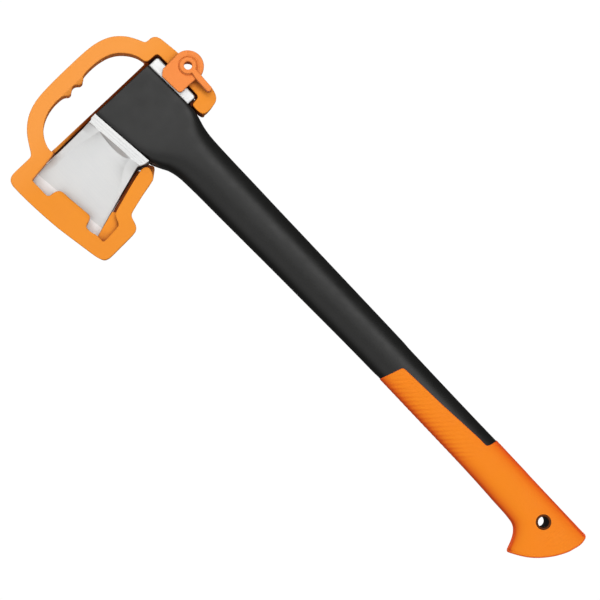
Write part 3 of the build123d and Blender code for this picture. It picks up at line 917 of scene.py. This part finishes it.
# ------------------------------------------------------------------ plug and liner
# (x, z, corner radius) of the plug in the knob and of its spigot up the handle
PLUG_BODY = [(13.5, 38, 0), (13.5, -24, 4), (9, -29, 5), (0, -28, 12), (-14, -21, 20),
             (-27, -8, 12), (-33, 0.5, 3), (-30, 2.5, 3), (-21, 6, 8), (-16, 14, 10),
             (-13, 26, 10), (-12.2, 38, 0)]
PLUG_SPIGOT = [(12.8, 30, 0), (12.8, 52, 2), (-11.6, 52, 2), (-12, 30, 0)]
# (radius, y) of the liner's wall from its front outer edge inwards to the middle of the bore
LINER_OUTSIDE = 7.28
LINER_HALF = [(LINER_OUTSIDE, -13.4), (LINER_OUTSIDE, -14.2), (7.12, -14.55), (6.8, -14.7),
              (6.3, -14.72), (5.65, -14.66), (5.25, -14.4), (5.07, -14.0), (5.02, -13.4),
              (5.0, -6.0), (5.0, 0.0)]
LINER_SEGMENTS = 96


def build_plug():
    body = refine(ccw(corners(PLUG_BODY, 10.0)), 2.0)
    spigot = ccw(corners(PLUG_SPIGOT, 12.0))
    hole = circle(HOLE, 7.35, 64)
    cheek = plus(body) + minus(hole)
    verts, faces = layered([-9.0, -7.0, 7.0, 9.0],
                           [cheek, plus(body, spigot) + minus(hole), cheek],
                           {0: ([body, hole], 1.6, 1), 3: ([body, hole], 1.6, -1)})
    return make_object("knob_plug", verts, faces, PLUG, sharp=40)


def build_liner():
    """Tube through the knob with a rounded lip at each face."""
    ring = LINER_HALF + [(r, -y) for r, y in LINER_HALF[-2::-1]] + [(LINER_OUTSIDE, 0.0)]
    count = len(ring)
    verts, faces = [], []
    for i in range(LINER_SEGMENTS):
        angle = 2 * math.pi * i / LINER_SEGMENTS
        here, after = i * count, ((i + 1) % LINER_SEGMENTS) * count
        for j, (r, y) in enumerate(ring):
            verts.append((HOLE[0] + r * math.cos(angle), y, HOLE[1] + r * math.sin(angle)))
            k = (j + 1) % count
            faces.append((here + j, here + k, after + k, after + j))
    return make_object("hole_liner", verts, faces, LINER, sharp=50)


# ------------------------------------------------------------------ steel head
# (x, z) of the upper and lower ends of the cutting edge and of the border with the handle
CUTTING_EDGE = [(-126.2, 562.3), (-117.6, 480.6)]
BORDER = [(-40.3, HANDLE_TOP), (-34.2, 498)]
BLADE = [CUTTING_EDGE[0], (-47.4, 562.2), (-46.6, 562.5), (-45.6, 563.3), (-44.9, HANDLE_TOP),
         *BORDER, (-37, 498.1), (-39.7, 498.6), (-42.6, 499.7), (-45.6, 501.4),
         (-49.6, 500.6), (-68.9, 495.1), CUTTING_EDGE[1]]
# (x, z) of the upper and lower limits of the hollow in the cheek
TOP_FACET = [(-128, 557), (-98.5, 555.4), (-87.1, 555.2), (-74.3, 554.6), (-64, 552.8),
             (-56, 550.8), (-50, 549.7), (-46, 549.4), (-30, 549)]
HEEL_FACET = [(-130, 482), (-94.3, 489.9), (-80.2, 495.5), (-66.1, 501.8), (-55.5, 509.6),
              (-49, 511.2), (-45.3, 511.3), (-30, 511)]
BEVEL = 9.5                            # width of the ground bevel behind the edge
SHOULDER = 9.2                         # width of the band next to the handle
SHOULDER_STEPS = [(3.3, 0.16), (5.9, 0.16), (8.0, 0.10)]   # distance from the border, depth
BLADE_CHAMFER = 0.55


def x_on(line, z):
    (top_x, top_z), (low_x, low_z) = line
    return top_x + (top_z - z) * ((low_x - top_x) / (top_z - low_z))


def blade_half(x, z):
    """Half thickness of the steel at (x, z)."""
    edge, border = x_on(CUTTING_EDGE, z), x_on(BORDER, z)
    bevel_end = edge + BEVEL
    band = border - x
    top, heel = follow(TOP_FACET, x), follow(HEEL_FACET, x)
    up = clamp((z - heel) / (top - heel))
    width = 0.35 + 3.7 * np.sin(math.pi * up ** 0.64) ** 0.9
    along = clamp((x - bevel_end) / ((border - SHOULDER) - bevel_end))
    wedge = 2.3 + 18.1 * (0.62 * along + 0.38 * along ** 1.9)
    scoop = 5.9 * np.sin(math.pi * up) ** 0.85 * clamp((along - 0.25) / 0.75) ** 1.5
    over, under = np.maximum(0.0, z - top), np.maximum(0.0, heel - z)
    away = clamp((x - edge - BEVEL) / 16.0)
    near = clamp((band - SHOULDER) / 9.0)
    fall = away * (0.34 * over + 0.22 * under) * (0.25 + 0.75 * near)
    cheek = wedge - scoop - fall * np.clip(wedge / 10.0, 0.25, 1.2)
    bevel = 0.25 + (x - edge) * (2.05 / BEVEL)
    half = np.where(x < bevel_end, np.maximum(0.25, bevel), cheek)
    # shoulder band next to the handle, with fine machining steps
    shoulder = 20.85 - 0.03 * band
    for place, depth in SHOULDER_STEPS:
        shoulder = shoulder - depth / (1 + np.exp(-(band - place) / 0.09))
    # the steep fall from the band into the hollow of the cheek
    t = clamp((band - SHOULDER) / width)
    half = np.where(band < SHOULDER + width, shoulder * (1 - t) + half * t, half)
    return np.maximum(0.25, np.where(band < SHOULDER, shoulder, half))


def blade_grid():
    """Points on lines that follow the edge on one side and the border on the other."""
    from_edge = np.concatenate([np.linspace(0, 9.4, 9), [BEVEL], np.linspace(9.9, 12.0, 4)])
    from_border = np.concatenate([np.arange(14.0, 9.0, -0.45), np.arange(9.0, 2.2, -0.16),
                                  [2.0, 1.4, 0.8]])
    points = []
    for z in np.arange(481.0, 563.4, 0.75):
        edge, border = x_on(CUTTING_EDGE, z), x_on(BORDER, z)
        xs = [*(edge + from_edge), *np.arange(edge + 13.0, border - 14.2, 0.95),
              *(border - from_border)]
        points += [(x, z) for x in xs]
    return np.array(points)


def build_head():
    """Wedge from a height field on a triangulated outline, mirrored front to back."""
    ring = ccw(refine(BLADE, 0.8))
    points, edges = [], []
    for loop in [ring] + [inset(ring, BLADE_CHAMFER * k) for k in (0.35, 0.7, 1.0)]:
        base, count = len(points), len(loop)
        points += loop
        edges += [(base + i, base + (i + 1) % count) for i in range(count)]
    grid = blade_grid()
    kept = grid[inside([inset(ring, BLADE_CHAMFER + 0.3)], grid)]
    pts, tris = triangulate(points + [tuple(p) for p in kept], edges, 1e-5)
    tris = tris[inside([ring], pts[tris].mean(axis=1))]
    x, z = pts[:, 0], pts[:, 1]
    half = blade_half(x, z)
    near_border = np.abs(x - x_on(BORDER, z)) < 1.2
    near_edge = np.abs(x - x_on(CUTTING_EDGE, z)) < 1.5
    cut = np.where(near_border | near_edge, 0.0,
                   roundover(distance([ring], pts), BLADE_CHAMFER))
    half = np.maximum(0.12, half - np.minimum(cut, half * 0.45))
    n = len(pts)
    verts = np.concatenate([np.stack([x, -half, z], 1), np.stack([x, half, z], 1)])
    faces = list(tris) + list(tris[:, ::-1] + n)
    sides = set()
    for t in tris:
        sides.update({(t[0], t[1]), (t[1], t[2]), (t[2], t[0])})
    faces += [(b, a, a + n, b + n) for a, b in sides if (b, a) not in sides]
    head = make_object("steel_head", verts, faces, STEEL, sharp=24)
    mark_ground(head, lambda x, z: clamp((9.9 - (x - x_on(CUTTING_EDGE, z))) / 0.5))
    return head


def mark_ground(ob, amount):
    """Writes the 'ground' attribute from the vertex places (x, z) in working millimetres."""
    co = np.zeros(len(ob.data.vertices) * 3)
    ob.data.vertices.foreach_get("co", co)
    co = co.reshape(-1, 3) / MM - SHIFT
    attribute = ob.data.attributes.new("ground", "FLOAT", "POINT")
    attribute.data.foreach_set("value", amount(co[:, 0], co[:, 2]).astype(np.float32))


def build_poll():
    """Block behind the handle and the core that runs through it to the blade."""
    block = ccw(corners([(28.4, 511.8, 0), (38.9, 511.8, 2.6), (38.9, 562.9, 2.6),
                         (27.2, 562.9, 0)], 12.0))
    core = ccw(corners([(-43, 558.6, 0), (-37, 517, 0), (28.4, 517, 0), (27.2, 558.6, 0)]))
    verts, faces = layered([-15.6, -10.5, 10.5, 15.6],
                           [plus(block), plus(block, core), plus(block)],
                           {0: ([block], 1.6, 1), 3: ([block], 1.6, -1)})
    ob = make_object("steel_poll", verts, faces, STEEL, sharp=40)
    mark_ground(ob, lambda x, z: np.zeros(len(x)))
    return ob


# ------------------------------------------------------------------ sheath
# All outlines are (x, z). Outer outline, from the blade's heel clockwise over the top and
# down to the hook round the poll.
OUTER = [
    (-45.7, 497.3), (-42.4, 497.6), (-40, 496.6), (-38.3, 494.2), (-38.2, 492),
    (-39.4, 488.4), (-40.8, 485.6), (-42.2, 483.6), (-44.6, 482.4), (-57.1, 479.9),
    (-70, 476.6), (-78.4, 474.2), (-80.4, 473), (-81.8, 470.8), (-83.4, 465),
    (-84.9, 461.9), (-87, 459.9), (-89.8, 458.8), (-98.5, 458.4), (-107.8, 458.2),
    (-117.2, 457.9), (-121.8, 458), (-125.2, 458.8), (-127.6, 460.3), (-129.3, 462.8),
    (-130.6, 466.6), (-131.4, 470.4), (-133.7, 484.1), (-136.4, 500.7), (-138.3, 513),
    (-139.8, 529.5), (-140.8, 544.8), (-141.2, 556), (-141.2, 566.4), (-140.6, 570.2),
    (-138.9, 573.2), (-136.3, 575.1), (-132.4, 575.9), (-122, 575.9), (-112.6, 575.9),
    (-110.2, 576.4), (-108.2, 578.2), (-105.4, 583), (-100.9, 590.4), (-96.6, 596),
    (-91.4, 601), (-85.4, 605.2), (-78.6, 608.4), (-69.4, 611), (-58, 612.2),
    (-43.6, 612.8), (-27.9, 613), (-12, 613), (-2.1, 612.6), (6, 611.6), (14.5, 609.2),
    (21.3, 605.9), (26.4, 601.9), (30.6, 597.6), (33.6, 593.4), (36.6, 588), (38.6, 583.6),
    (39.6, 581.6), (41.2, 580.5), (43.6, 580.2), (46.8, 580.2), (49.2, 579.2), (51.4, 577.2),
    (52.7, 574.4), (53.4, 569.6), (54.4, 562), (55.2, 555.4), (55.7, 545), (55.9, 530),
    (56, 517.4), (56, 510.8), (55.4, 505.4), (54, 500.9), (52.4, 498.2), (50.2, 496.2),
    (47.4, 495), (42.6, 494.2), (37.6, 493.9), (34.6, 494.5), (32.6, 496), (31.5, 498.6),
    (31, 502.2), (31, 506), (31.5, 508.2), (32.8, 509), (36.4, 509.3), (39, 509.7),
    (40.5, 510.8), (41.1, 512.8), (41.15, 530), (41.2, 552), (41.2, 561.8), (40.9, 564.2),
    (39.7, 565.5), (37.6, 565.9), (33.4, 566), (30.2, 566.2), (28.6, 566.8)]
HOOK_CORNER = OUTER.index((42.6, 494.2))   # bottom of the hook; no draft just past it
# inner edge of the arched carrying handle, from the poll side to the blade side
ARCH = [(26.9, 569.4), (26.4, 573), (25.2, 577.2), (22.5, 582.2), (19, 586.8),
        (14.8, 590.8), (10.2, 593.8), (4.9, 596.1), (-1.8, 597.6), (-8.5, 598.3),
        (-16, 598.4), (-22.6, 597.6), (-24.4, 596.5), (-25.6, 594.9), (-27.2, 593.8),
        (-29.3, 593.4), (-31.6, 593.9), (-33.2, 595.3), (-34.6, 596.5), (-36.5, 597),
        (-38.6, 596.5), (-40.2, 595.2), (-41.6, 593.9), (-43.4, 593.3), (-45.6, 593.5),
        (-47.4, 594.6), (-48.8, 595.9), (-51.4, 596.8), (-56, 597.1), (-61, 597),
        (-67.1, 595.9), (-72, 594.4), (-76.8, 592.2), (-81.4, 589.2), (-85.4, 585.6),
        (-88.6, 581.6), (-91, 577.4), (-92.7, 572.8), (-93.4, 569.6)]
# edge of the front opening that shows the blade, from the top round to the heel
WINDOW = [(-93.2, 566.6), (-92.2, 564.4), (-95.2, 563.4), (-110, 561.5), (-123.2, 559.8),
          (-124.4, 559.2), (-124.6, 557.8), (-124.6, 541), (-124.2, 539.2), (-122.8, 538),
          (-120.8, 537.6), (-117.4, 537.3), (-115, 536.4), (-113, 534.9), (-111.7, 532.8),
          (-111.3, 530), (-111.1, 524.3), (-109.9, 513), (-108.7, 503.1), (-108.6, 500.4),
          (-109.2, 498.4), (-110.9, 497), (-114.2, 495.8), (-117.2, 494.8), (-118.3, 493.6),
          (-118.6, 491.6), (-118.2, 486.4), (-116.7, 482.4), (-116.4, 478), (-116.6, 474.4),
          (-116, 473), (-114.4, 472.6), (-105, 473.2), (-97.2, 473.9), (-95.4, 474.6),
          (-94.2, 476.6), (-92.4, 481.2), (-91, 483.7), (-88.4, 485.1), (-80, 487.7),
          (-66.3, 491.9), (-55, 495)]
BAR_LOW, BAR_HIGH = 564.3, 567.0       # bar that crosses over the top of the head
# edge of the hollow for the blade, in the middle layers and in the back layer
MIDDLE_HOLLOW = [(28, 565.4), (27.8, BAR_LOW), (-128.4, BAR_LOW), (-128.4, 530),
                 (-119.4, 478.4), (-117.2, 473.4), (-116, 472.6), (-97, 473.7),
                 (-95.2, 474.4), (-92.4, 481.2), (-91, 483.7), (-88.4, 485.1),
                 (-66.3, 491.9), (-55, 495)]
BACK_HOLLOW = [(28, 565.4), (27.8, BAR_LOW), (-117.2, BAR_LOW), (-117.2, 481),
               (-115.6, 480.2), (-92, 486.7), (-88.4, 485.9), (-66.3, 491.9), (-55, 495)]
# pieces inside: lug at the heel (with corner radii), ledge under the blade, shelf and web
# below the edge's lower end, ledge in the hook
LUG = [(-47, 495.4, 0), (-38.2, 497.4, 0.6), (-35.2, 497.3, 0.5), (-33.6, 495, 0.5),
       (-32.7, 492.4, 0.6), (-34, 490.6, 1), (-40, 485.9, 1.5), (-45, 485.2, 0)]
LEDGE = [(-91.6, 483), (-91.4, 487.9), (-68.9, 494.6), (-49.8, 500), (-47, 500.4),
         (-44.2, 497), (-66.3, 490.6)]
SHELF = [(-121, 479), (-112, 481.8), (-91, 488), (-88, 484), (-92, 470), (-121, 469)]
WEB = [(-121, 479), (-115, 479.6), (-92, 486.2), (-88, 480), (-93, 470), (-121, 469)]
HOOK_LEDGE = [(31, 506.4), (31, 511.3), (38.2, 511.3), (39.3, 512), (39.7, 513.2),
              (39.7, 516), (42.2, 516), (42.2, 506.4)]
# hollows between the ribs, with corner radii: down the edge, along the bottom, over the
# arch and down the hook
POCKETS = [
    [(-137.6, 571.2, 5), (-131.6, 571.2, 1), (-131.6, 546, 1), (-136.4, 546, 1)],
    [(-135.9, 543, 1), (-131.4, 543, 1), (-129.6, 521, 1), (-134.4, 521, 1)],
    [(-134, 518, 1), (-129.2, 518, 1), (-126.2, 497, 1), (-131.2, 497, 1)],
    [(-130.8, 494, 1), (-126, 494, 1), (-122.9, 474, 1), (-127.6, 474, 1)],
    [(-124.8, 468.8, 1), (-98, 469.6, 1), (-98, 461.8, 1), (-124.4, 461.4, 3)],
    [(-95, 470, 1), (-90.4, 475, 1), (-84.2, 475, 1), (-87.6, 462.6, 1), (-95, 461.9, 1)],
    [(-85.6, 482.2, 1), (-67, 487.6, 1), (-58, 490.2, 1), (-58, 483.4, 1), (-80, 477.8, 1)],
    [(-106, 573.2, 1), (-97.6, 587.2, 12), (-86.6, 598.4, 14), (-76, 603.2, 1),
     (-77, 596.4, 1), (-87, 590.6, 10), (-95.8, 578.4, 10), (-97.4, 570.6, 1),
     (-106, 570.6, 1)],
    [(-72, 604.8, 1), (-60.6, 607.9, 20), (-27.4, 609.4, 1), (-27.4, 601.2, 1),
     (-72, 600.2, 1)],
    [(-24, 609.4, 1), (-5.5, 608.3, 20), (11, 602.6, 1), (8.6, 598.4, 1), (-3, 601.8, 20),
     (-24, 602, 1)],
    [(15, 601.2, 1), (25.6, 597.2, 10), (34.4, 581, 1), (34.4, 572, 1), (31, 572, 1),
     (30, 577.6, 10), (21.4, 592.2, 10), (14, 596.6, 1)],
    [(44.6, 575.6, 1), (49.4, 573.4, 2), (50.2, 555.8, 1), (44.6, 555.8, 1)],
    [(44.6, 518, 1), (52.4, 518, 1), (51.6, 501.4, 3), (44.6, 498.6, 1)]]
# inner end of the tab that reaches over the blade's bevel
TAB_EDGE = [(-111.9, 533.4), (-111.1, 524.3), (-109.9, 513), (-108.7, 503.1), (-108.9, 499.6)]
BUMPS_TOP = 597.6                      # where the slope under the arch's two bumps begins
SHEATH_LEVELS = [-15.0, -11.4, -9.0, -5.0, 0.0, 4.0, 8.0, 9.0, 13.0]
# draft at each level, in mm: outer outline with the arch, and the inside of the hook
OUTER_DRAFT = [0.0, 0.22, 0.36, 0.60, 0.85, 1.0, 1.15, 1.2, 1.35]
HOOK_DRAFT = [0.0, -0.12, -0.2, -0.35, -0.5, -0.65, -0.8, -0.85, -1.0]


def front_relief(x, z):
    """Soft ramps in the front face at the inner end of the tab and at the arch's bumps."""
    gap, _ = nearest([TAB_EDGE], np.stack([x, z], 1))
    tab = (x > -118.5) & (x < -104.0) & (z > 496.0) & (z < 537.6)
    bumps = (x < -24.0) & (x > -52.5) & (z > 592.5) & (z < 598.5)
    return np.where(tab, 1.5 * clamp(1 - gap / 4.6) ** 1.8, 0.0) \
        + np.where(bumps, 3.2 * clamp((BUMPS_TOP - z) / 4.0) ** 1.2, 0.0)


def bar_slope(x, z):
    """Slope on the hidden side of the bar over the head."""
    on = (z < BAR_HIGH + 0.01) & (z > BAR_LOW - 0.01) & (x < 29.7) & (x > -92.6)
    return np.where(on, (BAR_HIGH - z) / (BAR_HIGH - BAR_LOW) * 3.4, 0.0)


def build_sheath():
    front = soft(OUTER + ARCH + WINDOW)
    arch = [(x, max(z, BAR_HIGH)) for x, z in soft([(27, 567)] + ARCH + [(-93.6, 567)])]
    rounded = cut_corners(OUTER + OUTER[:1])[:-2]
    middle = refine(rounded + MIDDLE_HOLLOW, 1.6)
    back = refine(rounded + BACK_HOLLOW, 1.6)
    bar = [(29.6, BAR_HIGH), (29.6, BAR_LOW), (-96, BAR_LOW), (-96, BAR_HIGH)]
    lug = corners(LUG)
    bore = circle(PIVOT, 9.07)
    hole = minus(bore)
    # the pockets, with the boss left standing round the pivot
    hollows = minus(*[corners(p, 14.0) for p in POCKETS]) + plus(circle(PIVOT, 11.6)) + hole
    core = plus(middle) + minus(arch)
    near = plus(HOOK_LEDGE, SHELF)
    deep = plus(LEDGE) + near
    regions = [plus(front) + hole,
               plus(front) + hollows,
               plus(front, bar) + minus(arch) + plus(SHELF) + hollows,
               core + near + hollows,
               core + deep + hollows,
               core + deep + plus(lug) + hollows,
               core + deep + plus(lug, WEB) + hollows,
               plus(back) + minus(arch) + deep + plus(lug) + hollows]
    guides = [[(x - k, z) for x, z in TAB_EDGE] + [(x - k - 0.4, z) for x, z in TAB_EDGE[::-1]]
              for k in (0.9, 1.8, 2.8, 3.9, 5.2)]
    for drop in (0.0, 1.2, 2.4, 3.4):
        high, low = BUMPS_TOP - drop, 597.4 - drop
        guides.append([(-24, high), (-52.5, high), (-52.5, low), (-24, low)])
    drafts = [([cut_corners(OUTER[:HOOK_CORNER + 3]), cut_corners(ARCH)], front, OUTER_DRAFT),
              ([cut_corners(OUTER[HOOK_CORNER + 5:])], front, HOOK_DRAFT)]
    verts, faces = layered(SHEATH_LEVELS, regions,
                           {0: ([front, bore], 0.95, 1), 8: ([back, bore, arch], 0.9, -1)},
                           shapes={0: front_relief, 2: bar_slope}, guides=guides, drafts=drafts)
    return make_object("sheath_moulding", verts, faces, SHEATH, sharp=38)


# ------------------------------------------------------------------ latch
LATCH_DISC = 14.8                      # radius of the disc round the pivot
LATCH_RING = 7.8                       # radius of the raised ring in its middle
PAD_HALF = 9.0                         # half height of the pad on the blade side of the disc
# (x, z, corner radius) of the lobe between the ends of the disc, and of the lever
LOBE = [(44, 551.1, 0), (34, 550.9, 2.4), (28.6, 546.6, 3), (29.3, 529.6, 3),
        (30, 523.4, 3.2), (43, 523.5, 3)]
LEVER = [(50.9, 531, 0), (49.5, 522.4, 8), (49.1, 510, 4), (49.4, 505.7, 2.2),
         (54.7, 505.7, 2.2), (54.8, 511, 4), (55.4, 522, 8), (55.6, 531, 0)]
LATCH_LEVELS = [-25.0, -22.0, -18.3, -16.6, -16.5, -16.2, -15.15, 13.3, 15.0]


def from_pivot(x, z):
    return math.hypot(x - PIVOT[0], z - PIVOT[1])


def ring_with_lever(lever):
    """Outline of the ring with the lever, walked once round."""
    n = len(lever)
    out = [from_pivot(*p) > LATCH_RING + 0.05 for p in lever]
    start = next(i for i in range(n) if out[i] and not out[i - 1])
    run = []
    i = start
    while out[i % n]:
        run.append(lever[i % n])
        i += 1

    def crossing_angle(p, q):
        """Angle at which the side from p to q meets the ring."""
        meet = q
        for t in np.linspace(0, 1, 400):
            x, z = p[0] + (q[0] - p[0]) * t, p[1] + (q[1] - p[1]) * t
            if from_pivot(x, z) <= LATCH_RING:
                meet = x, z
                break
        return math.atan2(meet[1] - PIVOT[1], meet[0] - PIVOT[0])

    first = crossing_angle(run[-1], lever[i % n])
    last = crossing_angle(run[0], lever[(start - 1) % n])
    while last <= first:
        last += 2 * math.pi
    return run + arc_points(LATCH_RING, first, last)


def arc_points(radius, start, end):
    """Arc round the pivot."""
    return [(PIVOT[0] + radius * math.cos(a), PIVOT[1] + radius * math.sin(a))
            for a in np.linspace(start, end, 64)]


def latch_relief(x, z):
    """Groove round the ring and a slightly lower crescent on the poll side."""
    r = np.hypot(x - PIVOT[0], z - PIVOT[1])
    groove = 0.55 * np.exp(-((r - 8.5) / 0.55) ** 2)
    angle = np.arctan2(z - PIVOT[1], x - PIVOT[0])
    crescent = clamp((r - 10.0) / 0.6) * clamp((math.radians(50) - angle) / 0.15) \
        * clamp((angle - math.radians(-62)) / 0.15)
    return groove + 0.7 * crescent


def build_latch():
    arc = arc_points(LATCH_DISC, math.radians(-77), math.radians(101))
    lobe = corners([(*arc[-1], 0), *LOBE, (*arc[0], 0)], 10.0)
    body = ccw(refine(arc[1:-1] + lobe, 1.3))
    lever = ccw(corners(LEVER, 10.0))
    low, high = PIVOT[1] - PAD_HALF, PIVOT[1] + PAD_HALF
    pad = ccw(corners([(32.4, high, 3), (32.4, low, 3), (39, low, 1), (39, high, 1)], 14.0))
    disc = circle(PIVOT, LATCH_DISC, 96)
    ring = circle(PIVOT, LATCH_RING)
    eye = circle(PIVOT, 3.8, 60)
    bore = circle(PIVOT, 7.4, 60)
    hub = circle(PIVOT, 11.5, 80)
    stub = circle(PIVOT, 9.0)
    bead = circle(PIVOT, 10.2, 80)
    # from the raised ring at the front to the bead behind the sheath
    regions = [plus(ring, lever) + minus(eye),
               plus(body, lever) + minus(eye),
               plus(disc, pad, lever) + minus(eye),
               plus(disc, pad) + minus(eye),
               plus(disc, pad) + minus(bore),
               plus(hub) + minus(bore),
               plus(stub) + minus(bore),
               plus(bead) + minus(bore)]
    guides = [circle(PIVOT, r, 90) for r in (8.35, 8.8, 9.25, 9.9, 7.95, 10.3, 10.8)]
    verts, faces = layered(LATCH_LEVELS, regions,
                           {0: ([ring_with_lever(lever), eye], 0.9, 1), 1: ([body], 1.1, 1),
                            8: ([bead, bore], 0.4, -1)},
                           shapes={1: latch_relief}, guides=guides)
    return make_object("latch_moulding", verts, faces, LATCH, sharp=40)


# ------------------------------------------------------------------ put together
def attach(ob, body, slot, *nodes):
    """Ties a piece to its moving body and hides the pieces it replaces; slot is not used."""
    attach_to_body(ob, body)
    if nodes:
        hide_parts(*nodes)


attach(build_handle(), "axe", "black_composite", "handle_body")
attach(build_grip(), "axe", "orange_grip", "grip_sleeve")
attach(build_liner(), "axe", "black_moulding", "hanging_liner")
attach(build_head(), "axe", "steel", "axe_head")
attach(build_poll(), "axe", "steel")
attach(build_sheath(), "sheath", "orange_moulding", "sheath_frame")
attach(build_latch(), "latch", "orange_latch", "sheath_latch")
attach(build_plug(), "axe", "black_moulding", "end_plug")


# ------------------------------------------------------------------ stage (metres)
STAGE_WHITE = 1.02                     # brightness the camera sees behind the axe


def white_stage():
    """Plain white to the camera, grey-white to other rays."""
    material = bpy.data.materials.new("white_stage")
    material.use_nodes = True
    g = Graph(material.node_tree)
    g.tree.nodes.clear()
    glow = g.add("Emission", Color=(1, 1, 1), Strength=STAGE_WHITE)
    matt = g.add("BsdfDiffuse", Color=(0.9, 0.9, 0.9))
    seen = g.add("LightPath").outputs["Is Camera Ray"]
    mixed = g.add("MixShader", seen, matt.outputs[0], glow.outputs[0])
    g.add("OutputMaterial", Surface=mixed.outputs[0])
    return material


def plane(name, size, location, rotation, material):
    me = bpy.data.meshes.new(name)
    x, y = size[0] / 2, size[1] / 2
    me.from_pydata([(-x, -y, 0), (x, -y, 0), (x, y, 0), (-x, y, 0)], [], [(0, 1, 2, 3)])
    ob = link_object(name, me)
    ob.location = location
    ob.rotation_euler = rotation
    me.materials.append(material)
    ob.visible_glossy = False
    ob.visible_diffuse = False
    ob.visible_shadow = False


STAGE = white_stage()
plane("floor", size=(40, 40), location=(0, 0, -0.0405), rotation=(0, 0, 0), material=STAGE)
plane("backdrop", size=(60, 40), location=(0, 9.0, 10.0), rotation=(math.radians(90), 0, 0),
      material=STAGE)


# ------------------------------------------------------------------ light
LIGHT_TARGET = Vector((-0.02, 0.0, 0.31))
# world brightness by direction: (sine of the turn to +x, level) and (sine of height, level)
ACROSS = [(-1.0, 0.06), (-0.88, 0.60), (-0.62, 1.05), (-0.30, 0.86), (-0.08, 0.70), (0.04, 0.60),
          (0.12, 0.84), (0.19, 3.2), (0.40, 3.1), (0.50, 1.3), (0.60, 0.4), (0.76, 0.10),
          (0.95, 0.03)]
HEIGHT = [(-1.0, 0.05), (-0.85, 0.45), (-0.6, 1.0), (0.7, 1.0), (0.9, 0.8), (1.0, 0.6)]
FRONT_ONLY = [(0.0, 1.0), (0.42, 1.0), (0.5, 0.0), (1.0, 0.0)]   # (y from 0 to 1, level)
ACROSS_SCALE = 4.0                     # keeps the ramp's levels below one
FRONT_GAIN = 0.935
AMBIENT = 0.07


def area_light(name, location, size, energy):
    light = bpy.data.lights.new(name, "AREA")
    light.shape = "RECTANGLE"
    light.size, light.size_y = size
    light.energy = energy
    light.spread = math.pi
    ob = link_object(name, light)
    ob.location = location
    ob.rotation_mode = "QUATERNION"
    ob.rotation_quaternion = (LIGHT_TARGET - Vector(location)).to_track_quat("-Z", "Y")
    ob.visible_glossy = False


area_light("key", location=(1.05, -2.35, 0.95), size=(0.45, 0.6), energy=8)
area_light("back_light", location=(0.3, 2.6, 1.3), size=(2.2, 2.0), energy=70)
area_light("side_light", location=(2.3, 1.0, 1.2), size=(1.4, 1.8), energy=12)


def studio_world():
    """A wide soft front light with a brighter strip to the right, falling off to dark sides."""
    world = bpy.data.worlds.new("studio")
    bpy.context.scene.world = world
    world.use_nodes = True
    g = Graph(world.node_tree)

    def to_unit(value):
        """From -1..1 to 0..1."""
        return g.math("ADD", g.math("MULTIPLY", value, 0.5), 0.5)

    direction = g.add("TexCoord").outputs["Generated"]
    x, y, z = g.add("SeparateXYZ", direction).outputs
    squares = g.math("ADD", g.math("MULTIPLY", x, x), g.math("MULTIPLY", y, y))
    level_length = g.math("SQRT", g.math("ADD", squares, 1e-6))
    across = g.curve(to_unit(g.math("DIVIDE", x, level_length)),
                     [((s + 1) / 2, level / ACROSS_SCALE) for s, level in ACROSS])
    height = g.curve(to_unit(z), [((s + 1) / 2, level) for s, level in HEIGHT])
    front = g.curve(to_unit(y), FRONT_ONLY)
    glow = g.math("MULTIPLY", g.math("MULTIPLY", across, height), front)
    glow = g.math("MULTIPLY", glow, ACROSS_SCALE * FRONT_GAIN)
    glow = g.math("ADD", glow, AMBIENT)
    seen = g.add("LightPath").outputs["Is Camera Ray"]
    glow = g.math("MULTIPLY", glow, g.math("SUBTRACT", 1.0, seen))
    glow = g.math("ADD", glow, g.math("MULTIPLY", seen, STAGE_WHITE))
    background = g.tree.nodes["Background"].inputs
    g.feed(background["Strength"], glow)
    g.feed(background["Color"], (1, 1, 1))
    world.cycles.sampling_method = "MANUAL"
    world.cycles.sample_map_resolution = 512


studio_world()


# ------------------------------------------------------------------ camera
CAMERA_PLACE = Vector((-0.1920, -2.0800, 0.3285))
CAMERA_AIM = Vector((-0.0195, 0.0, 0.3060))
CAMERA_RIGHT = Vector((0.72297, 0.0, -0.69088))   # the camera is rolled, so the axe leans


def build_camera():
    data = bpy.data.cameras.new("camera")
    camera = link_object("camera", data)
    bpy.context.scene.camera = camera
    data.sensor_width = 36.0
    data.lens = 133.944
    data.clip_start, data.clip_end = 0.05, 80.0
    camera.location = CAMERA_PLACE
    forward = (CAMERA_AIM - CAMERA_PLACE).normalized()
    right = (CAMERA_RIGHT - forward * CAMERA_RIGHT.dot(forward)).normalized()
    up = right.cross(forward)
    camera.rotation_mode = "QUATERNION"
    camera.rotation_quaternion = Matrix((right, up, -forward)).transposed().to_quaternion()


view = bpy.context.scene.view_settings
view.view_transform = "Standard"
view.look = "None"
view.exposure = 0.0
view.gamma = 1.0
build_camera()

bpy.context.view_layer.update()
